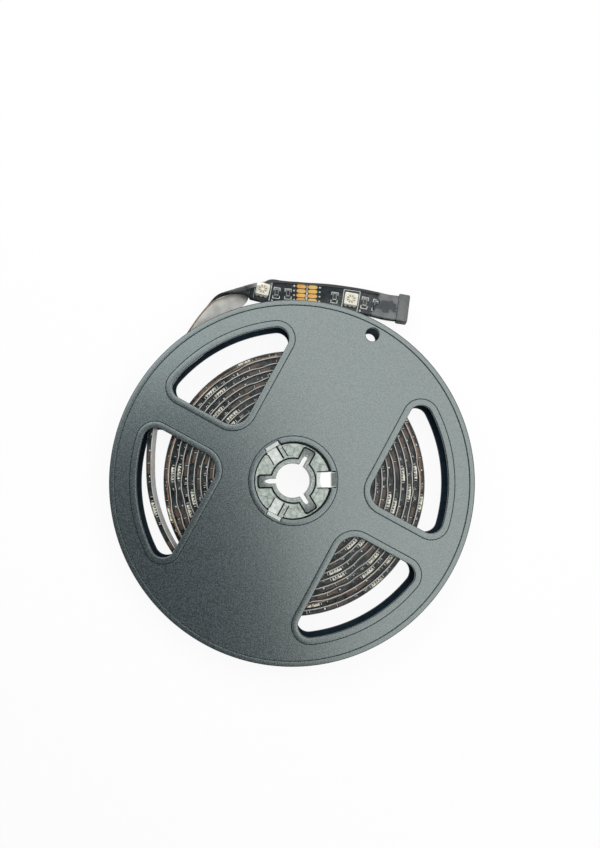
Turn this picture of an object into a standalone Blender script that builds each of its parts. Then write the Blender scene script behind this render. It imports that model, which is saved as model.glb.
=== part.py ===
"""A reel of silicone-coated LED strip: two windowed side plates, a keyed hub, and a flat strip wound between them.

Metres, +Z up. The reel lies on its rear plate, and its axis is parallel to Z.
"""

import math

import bmesh
import bpy
import numpy as np
from mathutils import Matrix, Vector

# Side plates, or flanges. The two are the same moulding.
FLANGE_RADIUS = 0.0660
FLANGE_THICK = 0.0016
FLANGE_RELIEF = 0.00025  # how far the plain field lies below the rims
RIM_BAND = 0.00185
RIM_CHAMFER = 0.0004
WIDE_AXIS = math.radians(61.5)  # the windows mirror about this line and the one square to it
WINDOW_RIM = 0.0097  # width of the rim outside each window
WINDOW_SPOKE = 0.0065  # half the width of the narrow spokes
WINDOW_SHOULDER = 0.0255  # half the width of the wide band across the hub
WINDOW_BAND = 0.0022
HEEL_FILLET = 0.0067
TOE_FILLET = 0.0044
EYE_RADIUS = 0.0025
EYE_INSET = 0.0053  # from the rim to the middle of the small eye
CENTRE_HOLE = 0.0140
CENTRE_BAND = 0.0020

# Strip: liner and board below, clear coat above with the lights in it.
STRIP_WIDTH = 0.0100
STRIP_THICK = 0.0020
BOARD_THICK = 0.0004
LIGHT_PITCH = 0.0333
SEAT = 0.0003  # clearance between pieces that touch
TURNS = 10.2

# Hub, moulded in one piece.
BORE_RADIUS = 0.0065
KEYWAY_WIDTH = 0.0020
KEYWAY_REACH = 0.0103
COLLAR_WALL = 0.0015
COLLAR_RISE = 0.0003
BOSS_RADIUS = 0.0127
BOSS_SINK = 0.0006
HUB_WALL = 0.0015
BARREL_RADIUS = 0.0230
SLOT_WIDTH = 0.0059
HOOK_PLACE = 0.0138  # radius of the hooks' inner faces
HOOK_WIDTH = 0.0052
HOOK_WALL = 0.0012
HOOK_LIP = 0.0006
HOOK_COUNT = 3

# Loose end of the strip, as polar stations: degrees round the reel, then place, then lean of the strip in degrees.
# In the channel between the plates the place is a share of the way from the coil to the rim. Past it, it is the
# distance beyond the rim.
COIL_END = 250.0
LEAD_IN = 15.0  # how much of the last turn the loose end's route starts with
CHANNEL_STATIONS = (
    (230, 0.05, 0),
    (209, 0.11, 0),
    (195, 0.16, 0),
    (183, 0.22, 0),
    (174, 0.26, 0),
    (164, 0.34, 0),
    (150, 0.50, -3),
    (137, 0.67, -22),
)
LOOSE_STATIONS = (
    (124.5, -0.0034, -66),
    (118.0, -0.0001, -75),
    (111.4, 0.0035, -75),
    (107.7, 0.0061, -60),
    (105.4, 0.0075, -22),
    (103.4, 0.0079, 28),
    (101.4, 0.0073, 62),
    (99.0, 0.0060, 72),
    (95.4, 0.0046, 69),
    (88.0, 0.0038, 64),
    (79.0, 0.0043, 69),
    (72.7, 0.0050, 76),
    (65.4, 0.0066, 77),
    (61.5, 0.0078, 77),
    (57.1, 0.0103, 77),
)
TWIST_SLANT = 1.7  # how far the upper edge turns ahead of the lower one, for each metre of width
LAST_LIGHT = 0.0202  # from the strip's end to the middle of the nearest light

# What is soldered to the board.
LIGHT_SIDE = 0.0050
LIGHT_THICK = 0.0012
LENS_RADIUS = 0.0019
LENS_DEPTH = 0.0002
CHIP_LENGTH = 0.0030
CHIP_WIDTH = 0.0014
CHIP_THICK = 0.0006
CHIPS_FROM_LIGHT = (-0.0062, 0.0053, 0.0096)

# Cap on the strip's end.
CAP_LENGTH = 0.0043
CAP_WIDTH = 0.0112
CAP_THICK = 0.0036
CAP_OVERLAP = 0.0025
CAP_ROUND = 0.0006

# What follows from those.
WINDOW_REACH = FLANGE_RADIUS - WINDOW_RIM
EYE_PLACE = FLANGE_RADIUS - EYE_INSET
GAP = STRIP_WIDTH + 2 * SEAT
REEL_THICK = 2 * FLANGE_THICK + GAP
STRIP_MID = FLANGE_THICK + GAP / 2
WINDING_PITCH = STRIP_THICK + SEAT
COIL_START_RADIUS = BARREL_RADIUS + SEAT + STRIP_THICK / 2
COIL_END_RADIUS = COIL_START_RADIUS + WINDING_PITCH * TURNS
NOTCH_WIDTH = HOOK_WIDTH + 2 * SEAT
NOTCH_REACH = math.hypot(HOOK_PLACE + HOOK_WALL + SEAT, NOTCH_WIDTH / 2)
LEDGE_DEPTH = HOOK_LIP + SEAT

# Fineness of the round forms.
RIM_STEPS = 120
HUB_STEPS = 60
HOLE_STEPS = 24
TURN_STEPS = 40
ROUTE_STEPS = 600
STATION_STEP = 0.0021
ACROSS_STEPS = 6


def clear_scene():
    for thing in list(bpy.data.objects):
        bpy.data.objects.remove(thing, do_unlink=True)


def material(name, colour, roughness, metallic=0.0, transmission=0.0):
    made = bpy.data.materials.new(name)
    made.use_nodes = True
    shader = made.node_tree.nodes["Principled BSDF"]
    shader.inputs["Base Color"].default_value = (*colour, 1.0)
    shader.inputs["Roughness"].default_value = roughness
    shader.inputs["Metallic"].default_value = metallic
    shader.inputs["Transmission Weight"].default_value = transmission
    return made


def add_object(name, bm, finish=None, parent=None):
    """Makes an object of the bmesh, with its faces outwards and smooth apart from sharp corners."""
    bmesh.ops.recalc_face_normals(bm, faces=bm.faces)
    mesh = bpy.data.meshes.new(name)
    bm.to_mesh(mesh)
    bm.free()
    mesh.shade_smooth()
    mesh.set_sharp_from_angle(angle=math.radians(30))
    thing = bpy.data.objects.new(name, mesh)
    bpy.context.scene.collection.objects.link(thing)
    if finish:
        mesh.materials.append(finish)
    thing.parent = parent
    return thing


def hide_tool(tool, parent):
    tool.hide_render = True
    tool.display_type = "WIRE"
    tool.parent = parent
    return tool


def boolean(thing, tool, operation):
    step = thing.modifiers.new(tool.name, "BOOLEAN")
    step.operation = operation
    step.solver = "EXACT"
    step.object = tool


def apply_booleans(thing):
    """Gives the object its finished mesh and removes the tools that cut it."""
    bpy.context.view_layer.update()
    finished = thing.evaluated_get(bpy.context.evaluated_depsgraph_get())
    mesh = bpy.data.meshes.new_from_object(finished)
    mesh.name = thing.name
    tools = [step.object for step in thing.modifiers]
    thing.modifiers.clear()
    thing.data = mesh
    for tool in tools:
        bpy.data.objects.remove(tool, do_unlink=True)


def polar(radius, angle):
    return (radius * math.cos(angle), radius * math.sin(angle))


def circle(radius, steps, centre=(0.0, 0.0)):
    turn = math.tau / steps
    return [(centre[0] + radius * math.cos(k * turn), centre[1] + radius * math.sin(k * turn)) for k in range(steps)]


def arc(centre, radius, start, end, steps):
    """Points on an arc from one angle to another, both ends included."""
    angles = [start + (end - start) * k / steps for k in range(steps + 1)]
    return [(centre[0] + radius * math.cos(a), centre[1] + radius * math.sin(a)) for a in angles]


def plate_bmesh(loops, low, high):
    """A flat plate between two heights. The first loop is its outline and the others are holes."""
    bm = bmesh.new()
    for loop in loops:
        corners = [bm.verts.new((x, y, low)) for x, y in loop]
        for k, corner in enumerate(corners):
            bm.edges.new((corner, corners[(k + 1) % len(corners)]))
    filled = bmesh.ops.triangle_fill(bm, use_beauty=True, use_dissolve=False, edges=bm.edges[:])
    faces = [g for g in filled["geom"] if isinstance(g, bmesh.types.BMFace)]
    raised = bmesh.ops.extrude_face_region(bm, geom=faces)
    top = [g for g in raised["geom"] if isinstance(g, bmesh.types.BMVert)]
    bmesh.ops.translate(bm, verts=top, vec=(0, 0, high - low))
    return bm


def window_loop(quarter, grow):
    """One window: a sector cut square by two straight sides, its corners rounded. grow offsets the outline outwards.

    In the window's own axes, x runs along the narrow spoke and y along the wide band.
    """
    reach = WINDOW_REACH + grow
    spoke = WINDOW_SPOKE - grow
    shoulder = WINDOW_SHOULDER - grow
    heel = HEEL_FILLET + grow
    toe = TOE_FILLET + grow
    heel_centre = (shoulder + heel, spoke + heel)
    low_toe = (math.sqrt((reach - toe) ** 2 - (spoke + toe) ** 2), spoke + toe)
    high_toe = (shoulder + toe, math.sqrt((reach - toe) ** 2 - (shoulder + toe) ** 2))
    low_turn = math.atan2(low_toe[1], low_toe[0])
    high_turn = math.atan2(high_toe[1], high_toe[0])
    outline = arc(heel_centre, heel, math.pi, 1.5 * math.pi, 6)
    outline += arc(low_toe, toe, -0.5 * math.pi, low_turn, 6)
    outline += arc((0, 0), reach, low_turn, high_turn, 16)[1:-1]
    outline += arc(high_toe, toe, high_turn, math.pi, 6)
    along = WIDE_AXIS + math.pi / 2
    mirror_x = 1 if quarter in (0, 3) else -1
    mirror_y = 1 if quarter in (0, 1) else -1
    spoke_axis = Vector(polar(mirror_x, along))
    wide_axis = Vector(polar(mirror_y, WIDE_AXIS))
    turned = [tuple(spoke_axis * x + wide_axis * y) for x, y in outline]
    return turned if mirror_x * mirror_y > 0 else turned[::-1]


def hook_angles():
    """Hooks lie even about the wide axis, so that they also fit the plate that is turned over."""
    return [WIDE_AXIS + math.tau * (k - 0.5) / HOOK_COUNT for k in range(HOOK_COUNT)]


def keyway_angles():
    return [angle + math.pi / HOOK_COUNT for angle in hook_angles()]


def lobed_loop(radius, reach, width, angles, arc_steps):
    """A circle with straight-sided lobes: the bore and its keyways, or the plate's hole and its notches."""
    half = math.asin(width / 2 / radius)
    tip = math.sqrt(reach**2 - (width / 2) ** 2)
    loop = []
    for k, angle in enumerate(angles):
        along = Vector(polar(1, angle))
        across = Vector((-along.y, along.x))
        loop += [tuple(along * tip - across * width / 2), tuple(along * tip + across * width / 2)]
        following = angles[(k + 1) % len(angles)] + (math.tau if k == len(angles) - 1 else 0)
        loop += arc((0, 0), radius, angle + half, following - half, arc_steps)
    return loop


def flange_mesh(root, finish):
    """The side plate, outer face down at z = 0. Its field is sunk between the bands at rim, windows and centre."""
    eye = polar(EYE_PLACE, WIDE_AXIS)
    loops = [circle(FLANGE_RADIUS, RIM_STEPS)]
    loops += [window_loop(quarter, 0) for quarter in range(4)]
    loops += [lobed_loop(CENTRE_HOLE, NOTCH_REACH, NOTCH_WIDTH, hook_angles(), 12)]
    loops += [circle(EYE_RADIUS, HOLE_STEPS, eye)]
    bm = plate_bmesh(loops, 0, FLANGE_THICK)
    near_rim = FLANGE_RADIUS * math.cos(math.pi / RIM_STEPS) - RIM_CHAMFER / 2
    rim = [e for e in bm.edges if all(v.co.xy.length > near_rim for v in e.verts)]
    rim = [e for e in rim if abs(e.verts[0].co.z - e.verts[1].co.z) < FLANGE_THICK / 2]
    bmesh.ops.bevel(bm, geom=rim, offset=RIM_CHAMFER, segments=1, affect="EDGES")
    flange = add_object("rear_flange", bm, finish, root)

    field = [circle(FLANGE_RADIUS - RIM_BAND, RIM_STEPS)]
    field += [window_loop(quarter, WINDOW_BAND) for quarter in range(4)]
    field += [circle(CENTRE_HOLE + CENTRE_BAND, HUB_STEPS)]
    sink = add_object("field_tool", plate_bmesh(field, -FLANGE_THICK, FLANGE_RELIEF))
    boolean(flange, hide_tool(sink, root), "DIFFERENCE")

    ledges = bmesh.new()
    depth = LEDGE_DEPTH + FLANGE_THICK
    for angle in hook_angles():
        middle = HOOK_PLACE + HOOK_WALL / 2 + HOOK_LIP / 2
        length = HOOK_WALL + HOOK_LIP + 2 * SEAT
        place = Matrix.Rotation(angle, 4, "Z") @ Matrix.Translation((middle, 0, LEDGE_DEPTH - depth / 2))
        shape = Matrix.Diagonal((length, NOTCH_WIDTH + 2 * SEAT, depth, 1))
        bmesh.ops.create_cube(ledges, size=1, matrix=place @ shape)
    boolean(flange, hide_tool(add_object("ledge_tool", ledges), root), "DIFFERENCE")
    apply_booleans(flange)
    return flange


def make_flanges(root, finish):
    rear = flange_mesh(root, finish)
    front = rear.copy()
    front.name = "front_flange"
    bpy.context.scene.collection.objects.link(front)
    wide_axis = Vector((*polar(1, WIDE_AXIS), 0))
    front.matrix_local = Matrix.Translation((0, 0, REEL_THICK)) @ Matrix.Rotation(math.pi, 4, wide_axis)


def revolve(profile, steps):
    """Turns a closed profile of (radius, height) points about Z."""
    bm = bmesh.new()
    rings = []
    for k in range(steps):
        angle = math.tau * k / steps
        rings.append([bm.verts.new((*polar(radius, angle), height)) for radius, height in profile])
    for k, ring in enumerate(rings):
        following = rings[(k + 1) % steps]
        for j in range(len(profile)):
            i = (j + 1) % len(profile)
            bm.faces.new((ring[j], following[j], following[i], ring[i]))
    return bm


def radial_prism(bm, profile, width, angle):
    """A profile of (radius, height) points given a width across the radius at this angle."""
    along = Vector((*polar(1, angle), 0))
    across = Vector((-along.y, along.x, 0)) * width / 2
    sides = []
    for side in (-1, 1):
        sides.append([bm.verts.new(along * r + Vector((0, 0, z)) + across * side) for r, z in profile])
    count = len(profile)
    bm.faces.new(sides[0])
    bm.faces.new(sides[1][::-1])
    for k in range(count):
        i = (k + 1) % count
        bm.faces.new((sides[0][k], sides[1][k], sides[1][i], sides[0][i]))


def radial_boxes(inner, outer, width, low, high, angles):
    bm = bmesh.new()
    for angle in angles:
        radial_prism(bm, ((inner, low), (outer, low), (outer, high), (inner, high)), width, angle)
    return bm


def make_hub(root, finish):
    """Barrel, web, boss and keyed collar. The web closes the front end, and the rear end is open."""
    boss_top = REEL_THICK - BOSS_SINK
    shoulder = REEL_THICK - FLANGE_THICK - SEAT
    foot = BOSS_SINK
    barrel_foot = FLANGE_THICK + SEAT
    web_hole = BORE_RADIUS + COLLAR_WALL / 2
    tube = BOSS_RADIUS - HUB_WALL
    profile = (
        (web_hole, boss_top),
        (web_hole, boss_top - HUB_WALL),
        (tube, boss_top - HUB_WALL),
        (tube, foot),
        (BOSS_RADIUS, foot),
        (BOSS_RADIUS, shoulder - HUB_WALL),
        (BARREL_RADIUS - HUB_WALL, shoulder - HUB_WALL),
        (BARREL_RADIUS - HUB_WALL, barrel_foot),
        (BARREL_RADIUS, barrel_foot),
        (BARREL_RADIUS, shoulder),
        (BOSS_RADIUS, shoulder),
        (BOSS_RADIUS, boss_top),
    )
    hub = add_object("hub", revolve(profile, HUB_STEPS), finish, root)
    keys = keyway_angles()
    hooks = hook_angles()
    above = REEL_THICK + FLANGE_THICK

    half_wall = COLLAR_WALL / 2
    relief = radial_boxes(
        BORE_RADIUS, KEYWAY_REACH + half_wall, KEYWAY_WIDTH + COLLAR_WALL, boss_top - 2 * HUB_WALL, above, keys
    )
    boolean(hub, hide_tool(add_object("keyway_tool", relief), root), "DIFFERENCE")

    slot_start = BORE_RADIUS + COLLAR_WALL + 2 * SEAT
    slot_end = HOOK_PLACE + HOOK_WALL / 3
    slots = radial_boxes(slot_start, slot_end, SLOT_WIDTH, shoulder - 2 * HUB_WALL, above, hooks)
    boolean(hub, hide_tool(add_object("slot_tool", slots), root), "DIFFERENCE")

    bore = lobed_loop(BORE_RADIUS, KEYWAY_REACH, KEYWAY_WIDTH, keys, 14)
    collar_reach = KEYWAY_REACH + COLLAR_WALL + 2 * SEAT
    collar = lobed_loop(BORE_RADIUS + COLLAR_WALL, collar_reach, KEYWAY_WIDTH + 2 * COLLAR_WALL, keys, 12)
    sleeve = plate_bmesh((collar, bore), foot + SEAT, boss_top + COLLAR_RISE)
    boolean(hub, hide_tool(add_object("collar_tool", sleeve), root), "UNION")

    inner = HOOK_PLACE
    outer = inner + HOOK_WALL
    lip = outer + HOOK_LIP
    ledge = LEDGE_DEPTH - SEAT
    catches = bmesh.new()
    for angle in hooks:
        front = (
            (inner, shoulder - HUB_WALL / 2),
            (outer, shoulder - HUB_WALL / 2),
            (outer, REEL_THICK - ledge),
            (lip, REEL_THICK - ledge),
            (outer, REEL_THICK),
            (inner, REEL_THICK),
        )
        rear = (
            (tube + HUB_WALL / 2, STRIP_MID),
            (BOSS_RADIUS, STRIP_MID),
            (outer, barrel_foot + HUB_WALL),
            (outer, ledge),
            (lip, ledge),
            (outer, 0),
            (inner, 0),
            (inner, foot + SEAT),
            (tube + HUB_WALL / 2, foot + SEAT),
        )
        radial_prism(catches, front, HOOK_WIDTH, angle)
        radial_prism(catches, rear, HOOK_WIDTH, angle)
    boolean(hub, hide_tool(add_object("hook_tool", catches), root), "UNION")
    return hub


def smooth_between(xs, ys, x):
    """A cubic through the given points with even slopes at each of them. xs falls or rises all the way."""
    xs = np.asarray(xs, float)
    ys = np.asarray(ys, float)
    slopes = np.gradient(ys, xs)
    k = int(np.clip(np.searchsorted(xs, x) - 1, 0, len(xs) - 2))
    span = xs[k + 1] - xs[k]
    t = (x - xs[k]) / span
    return (
        ys[k] * (1 + 2 * t) * (1 - t) ** 2
        + slopes[k] * span * t * (1 - t) ** 2
        + ys[k + 1] * t**2 * (3 - 2 * t)
        + slopes[k + 1] * span * t**2 * (t - 1)
    )


class LooseEnd:
    """The strip's route past the coil: where its middle runs, which way is outwards, and how far it leans."""

    def __init__(self):
        channel = FLANGE_RADIUS - COIL_END_RADIUS
        before = COIL_END_RADIUS - WINDING_PITCH * LEAD_IN / 360
        stations = [(COIL_END + LEAD_IN, before, 0), (COIL_END, COIL_END_RADIUS, 0)]
        stations += [(angle, COIL_END_RADIUS + share * channel, lean) for angle, share, lean in CHANNEL_STATIONS]
        stations += [(angle, FLANGE_RADIUS + past, lean) for angle, past, lean in LOOSE_STATIONS]
        travelled = [COIL_END - angle for angle, _, _ in stations]
        fine = np.linspace(0, travelled[-1], ROUTE_STEPS)
        radius = [smooth_between(travelled, [s[1] for s in stations], t) for t in fine]
        lean = [smooth_between(travelled, [s[2] for s in stations], t) for t in fine]
        angle = np.radians(COIL_END - fine)
        self.points = np.array(radius)[:, None] * np.stack([np.cos(angle), np.sin(angle)], 1)
        steps = np.linalg.norm(np.diff(self.points, axis=0), axis=1)
        self.along = np.concatenate([[0], np.cumsum(steps)])
        self.lean = np.radians(lean)
        self.length = self.along[-1]

    def middle(self, s):
        return Vector((np.interp(s, self.along, self.points[:, 0]), np.interp(s, self.along, self.points[:, 1]), STRIP_MID))

    def outward(self, s):
        tiny = self.length / ROUTE_STEPS
        ahead = self.middle(s + tiny) - self.middle(s - tiny)
        return Vector((-ahead.y, ahead.x, 0)).normalized()

    def lean_at(self, s, v):
        """The lean at a place along and across the strip: its upper edge turns ahead of its lower one."""
        return float(np.interp(s + TWIST_SLANT * v, self.along, self.lean))

    def section(self, s):
        """Points across the strip from lower to upper edge, each with the direction that the lights face."""
        out = self.outward(s)
        up = Vector((0, 0, 1))
        step = STRIP_WIDTH / ACROSS_STEPS
        halves = []
        for side in (1, -1):
            place = self.middle(s)
            row = []
            for k in range(ACROSS_STEPS // 2):
                lean = self.lean_at(s, side * (k + 0.5) * step)
                place = place + side * step * (up * math.cos(lean) - out * math.sin(lean))
                edge = self.lean_at(s, side * (k + 1) * step)
                row.append((place, out * math.cos(edge) + up * math.sin(edge)))
            halves.append(row)
        lean = self.lean_at(s, 0)
        centre = (self.middle(s), out * math.cos(lean) + up * math.sin(lean))
        return halves[1][::-1] + [centre] + halves[0]

    def frame(self, s):
        """A matrix at the middle of the strip: x along it, y across it to its lower edge, z the way the lights face."""
        row = self.section(s)
        mid = ACROSS_STEPS // 2
        normal = row[mid][1].normalized()
        across = (row[mid + 1][0] - row[mid - 1][0]).normalized()
        along = normal.cross(across).normalized()
        turn = Matrix((along, normal.cross(along), normal)).transposed().to_4x4()
        return Matrix.Translation(row[mid][0]) @ turn


def make_strip(root, finish, route):
    """The strip as one body: square turns round the barrel, then the loose end with its slanting twist."""
    bm = bmesh.new()
    half = STRIP_THICK / 2
    up = Vector((0, 0, STRIP_WIDTH / 2))
    rings = []
    coil_steps = round(TURNS * TURN_STEPS)
    for k in range(coil_steps):
        travelled = TURNS * k / coil_steps
        radius = COIL_START_RADIUS + WINDING_PITCH * travelled
        angle = math.radians(COIL_END) + math.tau * (TURNS - travelled)
        out = Vector((*polar(1, angle), 0))
        centre = out * radius + Vector((0, 0, STRIP_MID))
        corners = (centre - up - out * half, centre + up - out * half, centre + up + out * half, centre - up + out * half)
        rings.append([[bm.verts.new(corner)] for corner in corners])
    loose_steps = round(route.length / STATION_STEP)
    for k in range(loose_steps + 1):
        row = route.section(route.length * k / loose_steps)
        inner = [bm.verts.new(place - normal * half) for place, normal in row]
        outer = [bm.verts.new(place + normal * half) for place, normal in row[::-1]]
        rings.append([inner[:-1], [inner[-1]], outer[:-1], [outer[-1]]])

    for ring, following in zip(rings, rings[1:]):
        loop, next_loop = sum(ring, []), sum(following, [])
        if len(loop) == len(next_loop):
            for j in range(len(loop)):
                i = (j + 1) % len(loop)
                bm.faces.new((loop[j], loop[i], next_loop[i], next_loop[j]))
            continue
        # Here the square section meets the finer one, so each side is one face with more corners on its far edge.
        for j in range(4):
            far = following[j] + [following[(j + 1) % 4][0]]
            bm.faces.new([loop[j], loop[(j + 1) % 4]] + far[::-1])
    bm.faces.new(sum(rings[0], [])[::-1])
    bm.faces.new(sum(rings[-1], []))
    strip = add_object("led_strip", bm, finish, root)
    strip.modifiers.new("triangles", "TRIANGULATE")
    return strip


def light_places(route):
    return [route.length - LAST_LIGHT - k * LIGHT_PITCH for k in range(2)]


def chip_places(route):
    return [place + shift for place in light_places(route) for shift in CHIPS_FROM_LIGHT]


def pocket_tool(places, route, length, width):
    """Open pockets through the coat, down to the board, one at each place."""
    bm = bmesh.new()
    floor = BOARD_THICK - STRIP_THICK / 2
    high = 2 * STRIP_THICK
    for place in places:
        at = route.frame(place) @ Matrix.Translation((0, 0, (floor + high) / 2))
        shape = Matrix.Diagonal((length + 2 * SEAT, width + 2 * SEAT, high - floor, 1))
        bmesh.ops.create_cube(bm, size=1, matrix=at @ shape)
    return bm


def light_bmesh():
    """The square body of one light package, standing on z = 0. Its lens well is cut once it is in place."""
    side = LIGHT_SIDE / 2
    return plate_bmesh((((-side, -side), (side, -side), (side, side), (-side, side)),), 0, LIGHT_THICK)


def chip_bmesh():
    """One resistor, standing on z = 0."""
    across, along = CHIP_LENGTH / 2, CHIP_WIDTH / 2
    return plate_bmesh((((-along, -across), (along, -across), (along, across), (-along, across)),), 0, CHIP_THICK)


def make_lights(root, route, light_finish, chip_finish, strip):
    """Lights and resistors, each standing in a pocket of the coat with the usual clearance below it."""
    seat = BOARD_THICK - STRIP_THICK / 2 + SEAT
    lights = pocket_tool(light_places(route), route, LIGHT_SIDE, LIGHT_SIDE)
    boolean(strip, hide_tool(add_object("light_pockets", lights), root), "DIFFERENCE")
    chips = pocket_tool(chip_places(route), route, CHIP_WIDTH, CHIP_LENGTH)
    boolean(strip, hide_tool(add_object("chip_pockets", chips), root), "DIFFERENCE")
    for k, place in enumerate(light_places(route), 1):
        light = add_object(f"led_{k}", light_bmesh(), light_finish, root)
        light.matrix_local = route.frame(place) @ Matrix.Translation((0, 0, seat))
        well = bmesh.new()
        depth = 2 * LENS_DEPTH
        place_well = Matrix.Translation((0, 0, LIGHT_THICK))
        bmesh.ops.create_cone(
            well, cap_ends=True, segments=HOLE_STEPS, radius1=LENS_RADIUS, radius2=LENS_RADIUS, depth=depth, matrix=place_well
        )
        tool = hide_tool(add_object(f"lens_tool_{k}", well), light)
        boolean(light, tool, "DIFFERENCE")
    for k, place in enumerate(chip_places(route), 1):
        chip = add_object(f"resistor_{k}", chip_bmesh(), chip_finish, root)
        chip.matrix_local = route.frame(place) @ Matrix.Translation((0, 0, seat))


def make_cap(root, finish, route):
    """The cap that closes the strip's end: a rounded block with a mouth that takes the last of the strip."""
    bm = bmesh.new()
    bmesh.ops.create_cube(bm, size=1, matrix=Matrix.Diagonal((CAP_LENGTH, CAP_WIDTH, CAP_THICK, 1)))
    bmesh.ops.bevel(bm, geom=bm.edges[:], offset=CAP_ROUND, segments=2, profile=0.5, affect="EDGES")
    cap = add_object("end_cap", bm, finish, root)
    cap.matrix_local = route.frame(route.length) @ Matrix.Translation((CAP_LENGTH / 2 - CAP_OVERLAP, 0, 0))
    mouth = bmesh.new()
    size = (CAP_OVERLAP + SEAT + CAP_LENGTH, STRIP_WIDTH + 2 * SEAT, STRIP_THICK + 2 * SEAT)
    shift = CAP_OVERLAP + SEAT - CAP_LENGTH / 2 - size[0] / 2
    place = Matrix.Translation((shift, 0, 0))
    bmesh.ops.create_cube(mouth, size=1, matrix=place @ Matrix.Diagonal((*size, 1)))
    boolean(cap, hide_tool(add_object("mouth_tool", mouth), cap), "DIFFERENCE")


def stand_under_middle(root):
    """Moves the reel so that the frame's origin lies under the middle of the whole part, at its lowest face."""
    bpy.context.view_layer.update()
    graph = bpy.context.evaluated_depsgraph_get()
    lows, highs = [], []
    for thing in bpy.data.objects:
        if thing.type == "MESH" and not thing.hide_render:
            evaluated = thing.evaluated_get(graph)
            corners = [evaluated.matrix_world @ vert.co for vert in evaluated.data.vertices]
            lows.append([min(c[i] for c in corners) for i in range(3)])
            highs.append([max(c[i] for c in corners) for i in range(3)])
    low, high = np.min(lows, axis=0), np.max(highs, axis=0)
    root.location = (-(low[0] + high[0]) / 2, -(low[1] + high[1]) / 2, -low[2])


def build():
    clear_scene()
    black = material("black_plastic", (0.10, 0.115, 0.12), 0.45)
    clear = material("clear_plastic", (0.62, 0.66, 0.64), 0.25, transmission=0.6)
    coat = material("coated_strip", (0.05, 0.055, 0.06), 0.25)
    cream = material("light_package", (0.80, 0.77, 0.66), 0.4)
    grey = material("resistor", (0.25, 0.25, 0.24), 0.5)
    cap = material("cap_plastic", (0.16, 0.17, 0.17), 0.5)
    root = bpy.data.objects.new("reel", None)
    bpy.context.scene.collection.objects.link(root)
    route = LooseEnd()
    make_flanges(root, black)
    make_hub(root, clear)
    strip = make_strip(root, coat, route)
    make_lights(root, route, cream, grey, strip)
    make_cap(root, cap, route)
    stand_under_middle(root)


build()
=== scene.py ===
import math

import bmesh
import bpy
import numpy as np
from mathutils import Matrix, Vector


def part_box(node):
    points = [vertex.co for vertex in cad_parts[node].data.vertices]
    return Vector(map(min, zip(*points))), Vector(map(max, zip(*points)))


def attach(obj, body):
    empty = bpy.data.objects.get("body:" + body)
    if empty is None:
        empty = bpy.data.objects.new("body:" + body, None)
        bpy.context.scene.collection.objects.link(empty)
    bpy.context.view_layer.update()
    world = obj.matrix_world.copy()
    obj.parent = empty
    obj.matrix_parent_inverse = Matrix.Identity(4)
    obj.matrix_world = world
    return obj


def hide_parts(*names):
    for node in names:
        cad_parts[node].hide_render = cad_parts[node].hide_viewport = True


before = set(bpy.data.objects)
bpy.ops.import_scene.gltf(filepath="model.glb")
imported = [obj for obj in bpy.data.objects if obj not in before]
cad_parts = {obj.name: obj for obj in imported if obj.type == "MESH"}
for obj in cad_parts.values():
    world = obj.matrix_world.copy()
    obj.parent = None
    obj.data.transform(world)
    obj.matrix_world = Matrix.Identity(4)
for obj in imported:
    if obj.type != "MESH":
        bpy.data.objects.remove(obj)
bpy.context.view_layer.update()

# Side plates. Two flat mouldings of black plastic with four windows each, a spark-eroded grain on the outer
# face, and raised bands round the rim, the windows and the hub hole. Each is pressed over the hub's hooks,
# with its bands outwards.
PLATE_LOW, PLATE_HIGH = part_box("front_flange")
REEL_X = (PLATE_LOW.x + PLATE_HIGH.x) / 2
REEL_Y = (PLATE_LOW.y + PLATE_HIGH.y) / 2
PLATE_RADIUS = (PLATE_HIGH.x - PLATE_LOW.x) / 2
PLATE_THICK = PLATE_HIGH.z - PLATE_LOW.z
REEL_THICK = PLATE_HIGH.z
PLATE_RELIEF = 0.00025
GROOVE_WIDTH = 0.00032
GROOVE_DEPTH = 0.00022
GROOVE_STEPS = 9
BAND_LIP = 0.00012
LIP_STEPS = 6
RIM_BAND = 0.00185
RIM_ROUND = 0.00045
WIDE_AXIS = math.radians(61.5)
WINDOW_REACH = PLATE_RADIUS - 0.0097
WINDOW_SPOKE = 0.0065
WINDOW_SHOULDER = 0.0255
WINDOW_BAND = 0.0022
WINDOW_ROUND = 0.00028
WINDOW_HEEL = 0.0067
WINDOW_TOE = 0.0044
EYE_RADIUS = 0.0025
EYE_PLACE = PLATE_RADIUS - 0.0053
HUB_HOLE = 0.0140
HUB_BAND = 0.0020
NOTCH_WIDTH = 0.0058
NOTCH_REACH = 0.01557
WALL_LIMIT = 0.4
HOOK_ANGLES = WIDE_AXIS + math.tau * (np.arange(3) - 0.5) / 3


def new_finish(name, **sockets):
    """A material with these shader sockets set. An underscore in a name stands for a space."""
    made = bpy.data.materials.new(name)
    made.use_nodes = True
    shader = made.node_tree.nodes["Principled BSDF"]
    for socket, value in sockets.items():
        shader.inputs[socket.replace("_", " ")].default_value = value
    return made


def add_node(made, kind, links=(), **settings):
    """Adds a node to a material or a world, and sets its properties and inputs by name.

    A link is (source, socket), where the source is another node's output or a plain value.
    """
    step = made.node_tree.nodes.new(kind)
    for name, value in settings.items():
        if hasattr(step, name):
            setattr(step, name, value)
        else:
            step.inputs[name.replace("_", " ")].default_value = value
    for source, socket in links:
        if isinstance(source, bpy.types.NodeSocket):
            made.node_tree.links.new(source, step.inputs[socket])
        else:
            step.inputs[socket].default_value = source
    return step


def link_finish(made, output, socket="Base Color"):
    made.node_tree.links.new(output, made.node_tree.nodes["Principled BSDF"].inputs[socket])


def noise_on(made, scale, detail):
    """Noise on the piece's own coordinates."""
    place = add_node(made, "ShaderNodeTexCoord")
    return add_node(
        made, "ShaderNodeTexNoise", [(place.outputs["Object"], "Vector")], Scale=scale, Detail=detail
    )


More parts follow.
